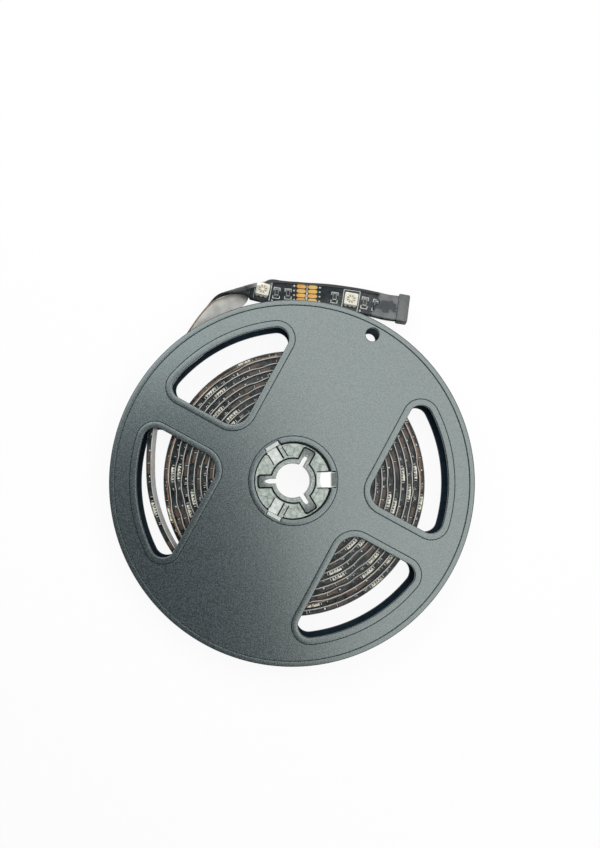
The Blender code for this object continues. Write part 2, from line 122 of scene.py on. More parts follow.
def shade_between(made, driver, dark, pale, low=0.35, high=0.65):
    """A colour that runs from dark to pale as the driver goes from low to high."""
    ramp = add_node(made, "ShaderNodeValToRGB", [(driver, "Fac")])
    ramp.color_ramp.elements[0].position = low
    ramp.color_ramp.elements[0].color = (*dark, 1)
    ramp.color_ramp.elements[1].position = high
    ramp.color_ramp.elements[1].color = (*pale, 1)
    return ramp.outputs["Color"]


def roughen(made, noise, strength, distance):
    """Raises the surface by the noise."""
    height = [(noise.outputs["Fac"], "Height")]
    bump = add_node(made, "ShaderNodeBump", height, Strength=strength, Distance=distance)
    link_finish(made, bump.outputs["Normal"], "Normal")


def grained_finish(name, dark, pale, scale, bump=0.2, depth=5e-5, detail=3, low=0.35, high=0.65, **sockets):
    """A finish with one noise, by which its colour runs from dark to pale and its surface rises."""
    made = new_finish(name, **sockets)
    noise = noise_on(made, scale, detail)
    link_finish(made, shade_between(made, noise.outputs["Fac"], dark, pale, low, high))
    roughen(made, noise, bump, depth)
    return made


def put_in_scene(name, data):
    placed = bpy.data.objects.new(name, data)
    bpy.context.scene.collection.objects.link(placed)
    return placed


def add_piece(name, shape, finish, replaces=(), corner=30, closed_at=None):
    """Makes a piece of a shape, which is a pair of points and groups of faces, with its faces outwards.

    Where closed_at gives a height, the open borders above it are filled in together, and so are those below.
    """
    points, faces = shape
    mesh = bpy.data.meshes.new(name)
    mesh.from_pydata(points.reshape(-1, 3).tolist(), [], [face for group in faces for face in group.tolist()])
    bm = bmesh.new()
    bm.from_mesh(mesh)
    for upper in (True, False) if closed_at else ():
        level = [edge for edge in bm.edges if edge.is_boundary and (edge.verts[0].co.z > closed_at) == upper]
        bmesh.ops.triangle_fill(bm, use_beauty=True, use_dissolve=False, edges=level)
    bmesh.ops.recalc_face_normals(bm, faces=bm.faces)
    bm.to_mesh(mesh)
    bm.free()
    return finish_piece(name, mesh, finish, replaces, corner)


def finish_piece(name, mesh, finish, replaces, corner):
    """Puts a mesh in the scene as a piece, smooth but for edges over the corner angle."""
    mesh.shade_smooth()
    mesh.set_sharp_from_angle(angle=math.radians(corner))
    mesh.materials.clear()
    mesh.materials.append(finish)
    piece = put_in_scene(name, mesh)
    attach(piece, "root")
    if replaces:
        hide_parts(*replaces)
    return piece


def several(*shapes):
    """Joins shapes into one."""
    points = [shape[0].reshape(-1, 3) for shape in shapes]
    starts = np.cumsum([0] + [len(part) for part in points])
    return np.concatenate(points), [
        group + start for (_, groups), start in zip(shapes, starts) for group in groups
    ]


def grid_quads(rows, columns, closed=True):
    """Quads between neighbouring rows of a grid of points that is numbered row by row."""
    row, column = np.meshgrid(np.arange(rows - 1), np.arange(columns - (not closed)), indexing="ij")
    here = row * columns + column
    beside = row * columns + (column + 1) % columns
    return np.stack([here, beside, beside + columns, here + columns], -1).reshape(-1, 4)


def arc_points(centre, radius, start, end, steps):
    """Points at even angles a from start to end: the centre plus radius times (cos a, sin a)."""
    turn = np.linspace(start, end, steps + 1)
    return np.asarray(centre) + radius * np.stack([np.cos(turn), np.sin(turn)], 1)


def circle_loop(radius, steps=240, centre=(0, 0)):
    return arc_points(centre, radius, 0, math.tau, steps)[:-1]


def window_loop(quarter, grow):
    """A sector cut square by two straight sides, with arcs for its corners, all offset outwards by grow."""
    reach, spoke, shoulder = WINDOW_REACH + grow, WINDOW_SPOKE - grow, WINDOW_SHOULDER - grow
    heel, toe = WINDOW_HEEL + grow, WINDOW_TOE + grow
    low_toe = np.array([math.sqrt((reach - toe) ** 2 - (spoke + toe) ** 2), spoke + toe])
    high_toe = np.array([shoulder + toe, math.sqrt((reach - toe) ** 2 - (shoulder + toe) ** 2)])
    low_turn, high_turn = np.arctan2(low_toe[1], low_toe[0]), np.arctan2(high_toe[1], high_toe[0])
    outline = np.concatenate([
        arc_points((shoulder + heel, spoke + heel), heel, math.pi, 1.5 * math.pi, 18),
        arc_points(low_toe, toe, -0.5 * math.pi, low_turn, 18),
        arc_points((0, 0), reach, low_turn, high_turn, 40)[1:-1],
        arc_points(high_toe, toe, high_turn, math.pi, 18),
    ])
    sides = outline * [(-1) ** (quarter in (1, 2)), (-1) ** (quarter in (2, 3))]
    along = WIDE_AXIS + math.pi / 2
    axes = np.array([[math.cos(along), math.sin(along)], [math.cos(WIDE_AXIS), math.sin(WIDE_AXIS)]])
    return sides @ axes


def fingered_loop(turns, radius, width, end, steps):
    """A circle with a finger at each turn: its end, as (outwards, to the left), and arcs in between."""
    half = math.asin(width / 2 / radius)
    loop = []
    for turn in turns:
        along = np.array([math.cos(turn), math.sin(turn)])
        loop.append(end @ np.array([along, [-along[1], along[0]]]))
        loop.append(arc_points((0, 0), radius, turn + half, turn + math.tau / 3 - half, steps))
    return np.concatenate(loop)


def notched_loop(grow):
    """The hub hole with its three square notches, offset outwards by grow."""
    reach, width = NOTCH_REACH + grow, NOTCH_WIDTH + 2 * grow
    tip = math.sqrt(reach**2 - (width / 2) ** 2)
    end = np.array([[tip, -width / 2], [tip, 0], [tip, width / 2]])
    return fingered_loop(HOOK_ANGLES, HUB_HOLE + grow, width, end, 40)


def hub_hole_loop(grow):
    """The notched hole, which turns into a plain circle towards the outside of the band round it."""
    notched = notched_loop(min(grow, WINDOW_ROUND))
    turn = np.arctan2(notched[:, 1], notched[:, 0])
    plain = (HUB_HOLE + grow) * np.stack([np.cos(turn), np.sin(turn)], 1)
    return notched if grow <= WINDOW_ROUND else plain


def edge_section(band, bend):
    """Section through a plate's edge as (distance in, height): field, groove, band, bend and wall."""
    across = np.linspace(1, 0, GROOVE_STEPS)
    depth = PLATE_RELIEF + GROOVE_DEPTH * np.sin(math.pi * across)
    groove = np.stack([band + GROOVE_WIDTH * across, -depth], 1)
    turn = np.linspace(0, math.pi / 2, LIP_STEPS)
    lip = BAND_LIP
    crest = np.stack([band - lip + lip * np.cos(turn), lip * np.sin(turn) - lip], 1)
    shoulder = np.stack([bend - bend * np.sin(turn), bend * np.cos(turn) - bend], 1)
    foot = np.stack([bend - bend * np.cos(turn), -PLATE_THICK + bend - bend * np.sin(turn)], 1)
    return np.concatenate([groove, crest, shoulder, foot])


def sweep_edge(loop_at, section):
    """Carries a section round an outline: each of its points is the outline offset so far, at that height."""
    rows = [
        np.column_stack([loop_at(inset), np.full(len(loop_at(inset)), height)]) for inset, height in section
    ]
    return np.array(rows), [grid_quads(len(rows), len(rows[0]))]


def plate_shape(turned):
    """The swept edges of rim, windows, hub hole and eye. The flat fields between them are still open."""
    axis = np.array([math.cos(WIDE_AXIS), math.sin(WIDE_AXIS)])
    window_section = edge_section(WINDOW_BAND, WINDOW_ROUND)
    eye_section = edge_section(RIM_BAND, WINDOW_ROUND)[GROOVE_STEPS + LIP_STEPS :] - [0, PLATE_RELIEF]
    points, quads = several(
        sweep_edge(lambda inset: circle_loop(PLATE_RADIUS - inset, 360), edge_section(RIM_BAND, RIM_ROUND)),
        *[sweep_edge(lambda inset, q=q: window_loop(q, inset), window_section) for q in range(4)],
        sweep_edge(hub_hole_loop, edge_section(HUB_BAND, WINDOW_ROUND)),
        sweep_edge(lambda inset: circle_loop(EYE_RADIUS + inset, 48, EYE_PLACE * axis), eye_section),
    )
    if turned:
        points[:, :2] = 2 * np.outer(points[:, :2] @ axis, axis) - points[:, :2]
    points[:, 2] = -points[:, 2] if turned else points[:, 2] + REEL_THICK
    return points + [REEL_X, REEL_Y, 0], quads


def polish_and_shade_walls(piece, outside):
    """Gives the polished finish to each face whose normal's Z times outside, 1 or -1, is under the limit.

    The mould grains the outer face only. The walls and the inner side are polished, and their colour is
    painted darker and bluer, as the shade that falls on them.
    """
    mesh = piece.data
    mesh.materials.append(polished_plastic_painted_shade)
    normal = np.empty(3 * len(mesh.polygons))
    mesh.polygons.foreach_get("normal", normal)
    mesh.polygons.foreach_set("material_index", (normal[2::3] * outside < WALL_LIMIT).astype(np.int32))


plate_plastic = grained_finish(
    "grained_black_plastic", (0.008, 0.012, 0.015), (0.052, 0.068, 0.078),
    scale=1900, bump=0.14, depth=0.00008, detail=2, low=0.38, high=0.62,
    Roughness=0.26, IOR=1.72, Specular_IOR_Level=0.95, Specular_Tint=(0.885, 1.0, 0.975, 1),
)
# Painted shade: the walls and the inner sides get a darker, bluer colour than the grained face, for the shade
# between and inside the plates.
polished_plastic_painted_shade = grained_finish(
    "polished_black_plastic_painted_blue_shade", (0.011, 0.024, 0.036), (0.017, 0.034, 0.049),
    scale=420, bump=0.1, Roughness=0.3, Specular_IOR_Level=0.06,
)
for name, node, outside, middle in (
    ("front_plate", "front_flange", 1, REEL_THICK - PLATE_THICK / 2),
    ("rear_plate", "rear_flange", -1, PLATE_THICK / 2),
):
    shape = plate_shape(outside < 0)
    polish_and_shade_walls(add_piece(name, shape, plate_plastic, [node], 35, middle), outside)

# Hub. One moulding of clear plastic: a barrel, a web with three slots, three pairs of snap hooks and a
# collar with three keyways. It keeps the solid's form, with its moulded edges broken by a small round.
HUB_EDGE = 0.00012
SHADE_FULL_BELOW = REEL_THICK - 0.0018
SHADE_NONE_ABOVE = REEL_THICK - 0.0012


def rounded_copy(node, name, finish, width, corner=35):
    """A copy of a solid with its doubled points merged, its flat triangles joined, and its edges rounded."""
    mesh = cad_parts[node].data.copy()
    bm = bmesh.new()
    bm.from_mesh(mesh)
    bmesh.ops.remove_doubles(bm, verts=bm.verts, dist=2e-6)
    bmesh.ops.dissolve_limit(bm, angle_limit=math.radians(1), verts=bm.verts, edges=bm.edges)
    bm.to_mesh(mesh)
    bm.free()
    piece = finish_piece(name, mesh, finish, [node], corner)
    bend = piece.modifiers.new("moulded edges", "BEVEL")
    bend.width = width
    bend.segments = 2
    bend.limit_method = "ANGLE"
    bend.angle_limit = math.radians(corner)
    bend.use_clamp_overlap = True


def mix_over(made, share, colour, blend_type="MIX"):
    """Mixes a colour over the finish's own, by a share. Both may be plain values or another node's output."""
    own = made.node_tree.nodes["Principled BSDF"].inputs["Base Color"].links[0].from_socket
    sources = [(share, 0), (own, 6), (colour, 7)]
    mixed = add_node(made, "ShaderNodeMix", sources, data_type="RGBA", blend_type=blend_type)
    link_finish(made, mixed.outputs[2])


hub_plastic = new_finish("clear_hub_plastic", Roughness=0.22, IOR=1.46, Transmission_Weight=0.35)
flakes = noise_on(hub_plastic, 700, 6)
clouds = noise_on(hub_plastic, 1500, 3)
link_finish(
    hub_plastic,
    shade_between(hub_plastic, flakes.outputs["Fac"], (0.40, 0.47, 0.425), (0.72, 0.80, 0.74), 0.30, 0.70),
)
hub_place = add_node(hub_plastic, "ShaderNodeTexCoord").outputs["Object"]
flaws = add_node(
    hub_plastic, "ShaderNodeTexVoronoi", [(hub_place, "Vector")],
    feature="DISTANCE_TO_EDGE", Scale=260.0, Randomness=1.0,
)
flaw_line = shade_between(hub_plastic, flaws.outputs["Distance"], (0.55, 0.57, 0.55), (1, 1, 1), 0.0, 0.05)
mix_over(hub_plastic, 1.0, flaw_line, "MULTIPLY")
# Painted shade: by height, the hub's colour is mixed to near black below the plate, for the shade that falls
# under it.
height = add_node(hub_plastic, "ShaderNodeSeparateXYZ", [(hub_place, "Vector")]).outputs["Z"]
painted_shade_below_plate = add_node(
    hub_plastic, "ShaderNodeMapRange", [(height, "Value")],
    From_Min=SHADE_FULL_BELOW, From_Max=SHADE_NONE_ABOVE, To_Min=1.0, To_Max=0.0,
)
mix_over(hub_plastic, painted_shade_below_plate.outputs[0], (0.020, 0.027, 0.027, 1))
# Painted highlight: the hook tops, the moulding's highest faces, are mixed to a pale colour by height, for
# the light that falls on them.
painted_hook_top_highlight = add_node(
    hub_plastic, "ShaderNodeMapRange", [(height, "Value")],
    From_Min=REEL_THICK - 0.0002, From_Max=REEL_THICK - 0.0001,
)
mix_over(hub_plastic, painted_hook_top_highlight.outputs[0], (0.84, 0.90, 0.86, 1))
roughen(hub_plastic, clouds, 0.5, 0.00012)
rounded_copy("hub", "hub_moulding", hub_plastic, HUB_EDGE)

# Edges in the hub. Clear plastic looks dark where a wall stands on end under its face, and this shade is
# painted as thin dark lines at the foot of the collar and along the slots. The collar's own end is a grey
# band.
BORE_RADIUS = 0.0065
KEYWAY_WIDTH = 0.0020
KEYWAY_REACH = 0.0103
COLLAR_WALL = 0.0015
BOSS_TOP = REEL_THICK - 0.0006
COLLAR_TOP = BOSS_TOP + 0.0003
COLLAR_LINE = 0.0078
KEY_SHADE_START = 0.0094
KEY_SHADE_END = 0.0118
FINGER_REACH = 0.0124
FINGER_WIDTH = 0.0039
FOOT_LINE = 0.00058
WEDGE_WIDTH = 0.0026
WEDGE_TIP = 0.0006
KEY_ANGLES = WIDE_AXIS + math.tau * np.arange(3) / 3
SLOT_START = BORE_RADIUS + COLLAR_WALL + 0.0006
SLOT_END = 0.0138
SLOT_HALF = 0.00295
FLANK_LINE = 0.00038
BOSS_RADIUS = 0.0126
SINK = 0.00005
SLOT_GAPS = ((-0.00155, -0.00095), (0.00075, 0.00125))
WALL_FOOT = 0.0010


def keyed_loop(radius, reach, width, tip=None):
    """A circle with three fingers out to the reach, narrowing from the width to a tip with round corners."""
    tip_half = (width if tip is None else tip) / 2
    corner = 0.4 * tip_half
    below = arc_points((reach - corner, corner - tip_half), corner, -math.pi / 2, 0, 4)
    return fingered_loop(KEY_ANGLES, radius, width, np.concatenate([below, below[::-1] * [1, -1]]), 24)


def collar_loop(grow):
    """The line round the collar, offset outwards by grow."""
    return keyed_loop(COLLAR_LINE + grow, FINGER_REACH + grow, FINGER_WIDTH + 2 * grow)


def bore_loop(grow):
    return keyed_loop(BORE_RADIUS + grow, KEYWAY_REACH + grow, KEYWAY_WIDTH + 2 * grow)


def closed_band(inner, outer, low, high):
    """A flat ring between two outlines with as many points each, from the height low to high."""
    corners = ((inner, low), (outer, low), (outer, high), (inner, high))
    rows = [np.column_stack([loop + [REEL_X, REEL_Y], np.full(len(loop), level)]) for loop, level in corners]
    return np.array(rows), [grid_quads(5, len(inner)) % (4 * len(inner))]


painted_shade_lines = grained_finish(
    "painted_shade_under_clear_plastic", (0.003, 0.006, 0.006), (0.014, 0.019, 0.018),
    scale=900, Roughness=0.3, Specular_IOR_Level=0.08,
)
foot = closed_band(collar_loop(0), collar_loop(FOOT_LINE), BOSS_TOP - SINK, COLLAR_TOP + 0.00004)
add_piece("collar_foot_shade", foot, painted_shade_lines)

grey_edge = grained_finish(
    "collar_end", (0.19, 0.225, 0.21), (0.36, 0.41, 0.385), 1200, bump=0.3, depth=0.00008, Roughness=0.25
)
# Painted shade: from KEY_SHADE_START out to KEY_SHADE_END the band's colour is multiplied darker, to under a
# third, for the shade towards the finger tips.
from_axis = add_node(
    grey_edge, "ShaderNodeMapping", [(add_node(grey_edge, "ShaderNodeTexCoord").outputs["Object"], "Vector")],
    Location=(-REEL_X, -REEL_Y, 0), Scale=(1, 1, 0),
)
reach_out = add_node(grey_edge, "ShaderNodeVectorMath", [(from_axis.outputs[0], 0)], operation="LENGTH")
painted_finger_shade = shade_between(
    grey_edge, reach_out.outputs["Value"], (1, 1, 1), (0.30, 0.31, 0.32), KEY_SHADE_START, KEY_SHADE_END
)
mix_over(grey_edge, 1.0, painted_finger_shade, "MULTIPLY")
wedge_loop = keyed_loop(BORE_RADIUS + 0.00035, KEYWAY_REACH + 0.0003, WEDGE_WIDTH, WEDGE_TIP)
collar_end = closed_band(wedge_loop, collar_loop(-0.00004), COLLAR_TOP - SINK, COLLAR_TOP + 0.00003)
add_piece("collar_band", collar_end, grey_edge)

wall_shade = grained_finish(
    "bore_wall_in_shade", (0.045, 0.056, 0.053), (0.12, 0.14, 0.135),
    scale=500, depth=0.00008, Roughness=0.3, Specular_IOR_Level=0.2,
)
bore_wall = closed_band(bore_loop(-0.00012), bore_loop(-0.00002), WALL_FOOT, COLLAR_TOP - 0.00008)
add_piece("bore_wall", bore_wall, wall_shade)


def flat_tiles(outlines, low, high, turns=None, centre=(REEL_X, REEL_Y)):
    """Closed tiles from low to high: each outline, given as (outwards, to the left), turned to its angle."""
    tiles = []
    for outline, turn in zip(outlines, turns if turns is not None else [0] * len(outlines)):
        x, y = np.array(outline, float).T
        across = centre[0] + x * math.cos(turn) - y * math.sin(turn)
        upwards = centre[1] + x * math.sin(turn) + y * math.cos(turn)
        count = len(x)
        points = [np.stack([across, upwards, np.full(count, level)], 1) for level in (low, high)]
        ends = np.array([np.arange(count)[::-1], np.arange(count) + count])
        tiles.append((np.concatenate(points), [ends, grid_quads(2, count)]))
    return several(*tiles)


def bar_outline(inner, outer, right, left):
    """A rectangle between two distances from the axis and two distances from the slot's middle line."""
    return [(inner, right), (outer, right), (outer, left), (inner, left)]


# Painted shade lines on both flanks of each slot, and in the gaps between two hook arms and the clear strips
# beside them.
bars = [
    bar_outline(SLOT_START, BOSS_RADIUS, side * SLOT_HALF - FLANK_LINE / 2, side * SLOT_HALF + FLANK_LINE / 2)
    for side in (-1, 1)
] * 3
bars += [bar_outline(SLOT_START, SLOT_END, *gap) for gap in SLOT_GAPS]
bar_turns = [*np.repeat(HOOK_ANGLES, 2), *HOOK_ANGLES[1:]]
flanks = flat_tiles(bars, BOSS_TOP - SINK, BOSS_TOP + 0.00003, bar_turns)
add_piece("slot_flank_shades", flanks, painted_shade_lines)

# Boss rim. The boss's outer edge, a thin flange of the same moulding that nearly fills the plate's hole
# between the slots, so that only a narrow gap is left, widest on the right, and dark with a ring of painted
# shade under it.
RIM_INNER = 0.0124
RIM_OUTER = 0.01346
RIM_SHIFT = np.array([-0.00026, -0.00008])
RIM_SHORT = 0.015
rim_outlines = []
for turn in HOOK_ANGLES:
    start_turn = turn + math.asin(SLOT_HALF / RIM_INNER)
    end_turn = turn + math.tau / 3 - math.asin(SLOT_HALF / RIM_INNER)
    outer_arc = arc_points(RIM_SHIFT, RIM_OUTER, start_turn + RIM_SHORT, end_turn - RIM_SHORT, 40)
    rim_outlines.append(np.concatenate([outer_arc, arc_points((0, 0), RIM_INNER, end_turn, start_turn, 40)]))
boss_rim = flat_tiles(rim_outlines, BOSS_TOP - 0.0004, BOSS_TOP + 0.00001)
add_piece("boss_rim", boss_rim, hub_plastic)
# Painted shade: a dark ring under the gap between the boss rim and the plate's hole, for the shade in the
# gap.
gap_shade_inner = RIM_SHIFT + circle_loop(RIM_OUTER - 0.0002)
gap_shade_ring = closed_band(gap_shade_inner, circle_loop(HUB_HOLE - 0.00003), BOSS_TOP - 0.0006, BOSS_TOP - 0.0005)
add_piece("rim_gap_shade", gap_shade_ring, painted_shade_lines)

# Hook arms. In two slots a thin springy tongue of the same plastic runs out to the hook, frosted on top,
# with a dark gap and a clear strip beside it. In the third slot only its root is left, and the light of the
# floor fills the rest.
ARM_TOP = BOSS_TOP - 0.0002
ARM_THICK = 0.0005
ARM_ROOT = SLOT_START + 0.0001
ARM_END = 0.0137
ARM_EDGE = 0.0028
ARM_STUB = 0.0106
ARM_SIDES = (-0.00100, 0.00080)
CLEAR_SIDES = (-0.00150, 0.00120)
LIT_START = 0.0104
LIT_BULGE = 0.0007
HOOK_INNER = 0.0139
HOOK_OUTER = 0.0151
HOOK_HALF = 0.0024
arm_outlines = [
    bar_outline(ARM_ROOT, ARM_STUB, -ARM_EDGE, ARM_EDGE),
    bar_outline(ARM_ROOT, ARM_END, ARM_SIDES[0], ARM_EDGE),
    bar_outline(ARM_ROOT, ARM_END, -ARM_EDGE, ARM_SIDES[1]),
]
frosted = grained_finish(
    "frosted_hook_arm", (0.50, 0.54, 0.51), (0.69, 0.72, 0.69),
    scale=900, depth=0.00006, detail=4, Roughness=0.4, IOR=1.46,
)
arms = flat_tiles(arm_outlines, ARM_TOP - ARM_THICK, ARM_TOP, HOOK_ANGLES)
add_piece("hook_arms", arms, frosted)

strip_outlines = [
    bar_outline(ARM_ROOT, ARM_END, -ARM_EDGE, CLEAR_SIDES[0]),
    bar_outline(ARM_ROOT, ARM_END, CLEAR_SIDES[1], ARM_EDGE),
]
slot_strips = flat_tiles(strip_outlines, ARM_TOP - ARM_THICK, ARM_TOP, HOOK_ANGLES[1:])
add_piece("slot_strips", slot_strips, hub_plastic)

lit_floor = grained_finish(
    "floor_light_in_the_slot", (0.90, 0.91, 0.90), (0.98, 0.98, 0.97),
    scale=300, bump=0.1, depth=0.00004, Roughness=0.5,
)
swell = np.linspace(-1, 1, 15)
lit_outline = np.stack([LIT_START - LIT_BULGE * np.sqrt(1 - swell**2), -ARM_EDGE * swell], 1).tolist()
lit_outline = [(ARM_END, -ARM_EDGE), (ARM_END, ARM_EDGE)] + lit_outline
lit_tile = flat_tiles([lit_outline], ARM_TOP - ARM_THICK, ARM_TOP + SINK, HOOK_ANGLES[:1])
add_piece("lit_slot", lit_tile, lit_floor)

# The right hook's face takes the collar end's finish and lies past KEY_SHADE_END, so it gets the darkest of
# that painted shade.
hook_end = [bar_outline(HOOK_INNER, HOOK_OUTER, -HOOK_HALF, HOOK_HALF)]
hook_tile = flat_tiles(hook_end, REEL_THICK - 0.0001, REEL_THICK + 0.00002, HOOK_ANGLES[:1])
add_piece("right_hook_face", hook_tile, grey_edge)

# Liner. A ribbon of white silicone-treated paper over the adhesive, inwards of the strip on every turn. It
# is laid on by machine and lets go here and there, which shows as a small bulge.
STRIP_WIDTH = 0.0100
STRIP_THICK = 0.0020
SEAT = 0.0003
TURNS = 10.2
WINDING_PITCH = STRIP_THICK + SEAT
BARREL_RADIUS = 0.0230
COIL_START_RADIUS = BARREL_RADIUS + SEAT + STRIP_THICK / 2
COIL_END_RADIUS = COIL_START_RADIUS + WINDING_PITCH * TURNS
COIL_END = 250.0
LEAD_IN = 15.0
STRIP_MID = REEL_THICK / 2
TWIST_SLANT = 1.7
ROUTE_STEP = 0.25
LOOSE_LENGTH = 0.23
CHANNEL_STATIONS = [
    (230, 0.05, 0), (209, 0.11, 0), (195, 0.16, 0), (183, 0.22, 0), (174, 0.26, 0), (164, 0.34, 0),
    (150, 0.50, -3), (137, 0.67, -22),
]
LOOSE_STATIONS = [
    (124.5, -0.0034, -66), (118.0, -0.0001, -75), (111.4, 0.0035, -75), (107.7, 0.0061, -60),
    (105.4, 0.0075, -22), (103.4, 0.0079, 28), (101.4, 0.0073, 62), (99.0, 0.0060, 72),
    (95.4, 0.0046, 69), (88.0, 0.0038, 64), (79.0, 0.0043, 69), (72.7, 0.0050, 76),
    (65.4, 0.0066, 77), (61.5, 0.0078, 77), (57.1, 0.0103, 77),
]


def smooth_through(xs, ys, x):
    """A cubic between each pair of given points, with the mean of the slopes beside it as a point's slope."""
    xs, ys = np.asarray(xs, float), np.asarray(ys, float)
    slopes = np.gradient(ys, xs)
    k = np.clip(np.searchsorted(xs, x) - 1, 0, len(xs) - 2)
    span = xs[k + 1] - xs[k]
    t = (x - xs[k]) / span
    level = ys[k] * (1 + 2 * t) * (1 - t) ** 2 + ys[k + 1] * t**2 * (3 - 2 * t)
    return level + span * (slopes[k] * t * (1 - t) ** 2 + slopes[k + 1] * t**2 * (t - 1))


def strip_route():
    """The strip's middle line: a spiral whose radius grows by one pitch a turn, then the loose end's curve.

    It gives distance along the strip, the line's points, the outward direction at each, and the lean there.
    """
    stations = [(COIL_END + LEAD_IN, COIL_END_RADIUS - WINDING_PITCH * LEAD_IN / 360, 0)]
    stations += [(COIL_END, COIL_END_RADIUS, 0)]
    channel = PLATE_RADIUS - COIL_END_RADIUS
    stations += [(turn, COIL_END_RADIUS + share * channel, lean) for turn, share, lean in CHANNEL_STATIONS]
    stations += [(turn, PLATE_RADIUS + past, lean) for turn, past, lean in LOOSE_STATIONS]
    turns, radii, leans = np.array(stations, float).T
    turn = np.arange(COIL_END + 360 * TURNS, turns[-1] - ROUTE_STEP / 2, -ROUTE_STEP)
    wound = COIL_START_RADIUS + WINDING_PITCH * (COIL_END + 360 * TURNS - turn) / 360
    loose = turn < COIL_END
    radius = np.where(loose, smooth_through(COIL_END - turns, radii, COIL_END - turn), wound)
    lean = np.where(loose, smooth_through(COIL_END - turns, leans, COIL_END - turn), 0)
    angle = np.radians(turn)
    line = radius[:, None] * np.stack([np.cos(angle), np.sin(angle)], 1)
    along = np.concatenate([[0], np.cumsum(np.linalg.norm(np.diff(line, axis=0), axis=1))])
    ahead = np.gradient(line, axis=0)
    outward = np.stack([-ahead[:, 1], ahead[:, 0]], 1) / np.linalg.norm(ahead, axis=1)[:, None]
    return along, line, outward, np.radians(lean)


ROUTE_ALONG, ROUTE_LINE, ROUTE_OUT, ROUTE_LEAN = strip_route()
STRIP_LENGTH = ROUTE_ALONG[-1]
ACROSS = np.linspace(-STRIP_WIDTH / 2, STRIP_WIDTH / 2, 41)


def strip_surface():
    """Middle surface of the strip, and the way it faces, on a grid of distance along and height across.

    From the middle line, the steps across are added up. Each goes along up times the cosine of the lean, less
    outward times its sine, with the lean of the place that it has slanted to.
    """
    lean = np.interp(ROUTE_ALONG[:, None] + TWIST_SLANT * ACROSS[None], ROUTE_ALONG, ROUTE_LEAN)
    sums = []
    for part in (np.cos(lean), -np.sin(lean)):
        steps = (part[:, 1:] + part[:, :-1]) / 2 * (ACROSS[1] - ACROSS[0])
        total = np.concatenate([np.zeros((len(part), 1)), np.cumsum(steps, 1)], 1)
        sums.append(total - total[:, [len(ACROSS) // 2]])
    rise, slide = sums
    out = np.column_stack([ROUTE_OUT, np.zeros(len(ROUTE_OUT))])[:, None]
    up = np.array([0.0, 0.0, 1.0])
    line = ROUTE_LINE + [REEL_X, REEL_Y]
    line = np.column_stack([line, np.full(len(line), STRIP_MID)])[:, None]
    surface = line + up * rise[..., None] + out * slide[..., None]
    facing = out * np.cos(lean)[..., None] + up * np.sin(lean)[..., None]
    return surface, facing


SURFACE, FACING = strip_surface()


def on_strip(along, across, high):
    """Points of the strip: its middle surface at a distance along and across, raised by high to the lights.

    Across is measured to the lower edge, and values between the grid's are shared out linearly.
    """
    along, across, high = np.broadcast_arrays(along, across, high)
    row = np.interp(along, ROUTE_ALONG, np.arange(len(ROUTE_ALONG)))
    i = np.clip(row.astype(int), 0, len(ROUTE_ALONG) - 2)
    column = (-across - ACROSS[0]) / (ACROSS[1] - ACROSS[0])
    j = np.clip(column.astype(int), 0, len(ACROSS) - 2)
    u, v = (row - i)[..., None], (column - j)[..., None]
    place, facing = [
        (grid[i, j] * (1 - v) + grid[i, j + 1] * v) * (1 - u)
        + (grid[i + 1, j] * (1 - v) + grid[i + 1, j + 1] * v) * u
        for grid in (SURFACE, FACING)
    ]
    return place + facing * high[..., None]


def ribbon(stations, edge, low, high, steps=12):
    """A flat bar between the heights low and high, this far to both edges, carried along the strip.

    Its steps across let it follow the twist. Low and high may hold a value for each station.
    """
    flat = np.linspace(-edge, edge, steps + 1)
    across = np.concatenate([flat, flat[::-1]])[None]
    size = (len(stations), steps + 1)
    levels = [np.broadcast_to(np.reshape(level, (-1, 1)), size) for level in (low, high)]
    return carried(stations, across, np.concatenate(levels, 1))


def carried(stations, across, high):
    """A closed section, given as across and high for each point, carried along the strip, with flat ends."""
    rows = on_strip(stations[:, None], across, high)
    count = rows.shape[1]
    last = (len(stations) - 1) * count
    ends = np.array([np.arange(count)[::-1], np.arange(count) + last])
    return rows, [grid_quads(len(stations), count), ends]


def stations_between(start, end, coarse=0.0016, fine=0.0006):
    """Distances along the strip: far apart on the wound turns, close together on the loose end."""
    loose = STRIP_LENGTH - LOOSE_LENGTH
    wound = np.arange(start, min(loose, end), coarse)
    free = np.arange(max(start, loose), end, fine)
    return np.append(np.concatenate([wound, free]), end)


LINER_LOW = -STRIP_THICK / 2
LINER_HIGH = LINER_LOW + 0.00026
LINER_EDGE = 0.00495
BULGE_COUNT = 70
BULGE_RISE = 0.00045
BULGE_HALF = 0.0024
random = np.random.default_rng(5)
bulge_places = random.uniform(0.8, STRIP_LENGTH - 0.3, BULGE_COUNT)


def liner_lift(along):
    """How far the liner stands off: the sum of bell curves at the places where it has let go."""
    away = (along[:, None] - bulge_places) / BULGE_HALF
    return (np.exp(-(away**2)) * BULGE_RISE).sum(1).clip(0, BULGE_RISE)


liner_stations = stations_between(0.0004, STRIP_LENGTH - 0.0004)
lift = liner_lift(liner_stations)
liner = ribbon(liner_stations, LINER_EDGE, LINER_LOW - lift, LINER_HIGH - lift)
liner_paper = grained_finish(
    "white_release_paper", (0.38, 0.38, 0.355), (0.54, 0.535, 0.51),
    scale=260, depth=0.00008, detail=5, Roughness=0.38, IOR=1.45,
)
add_piece("adhesive_liner", liner, liner_paper)

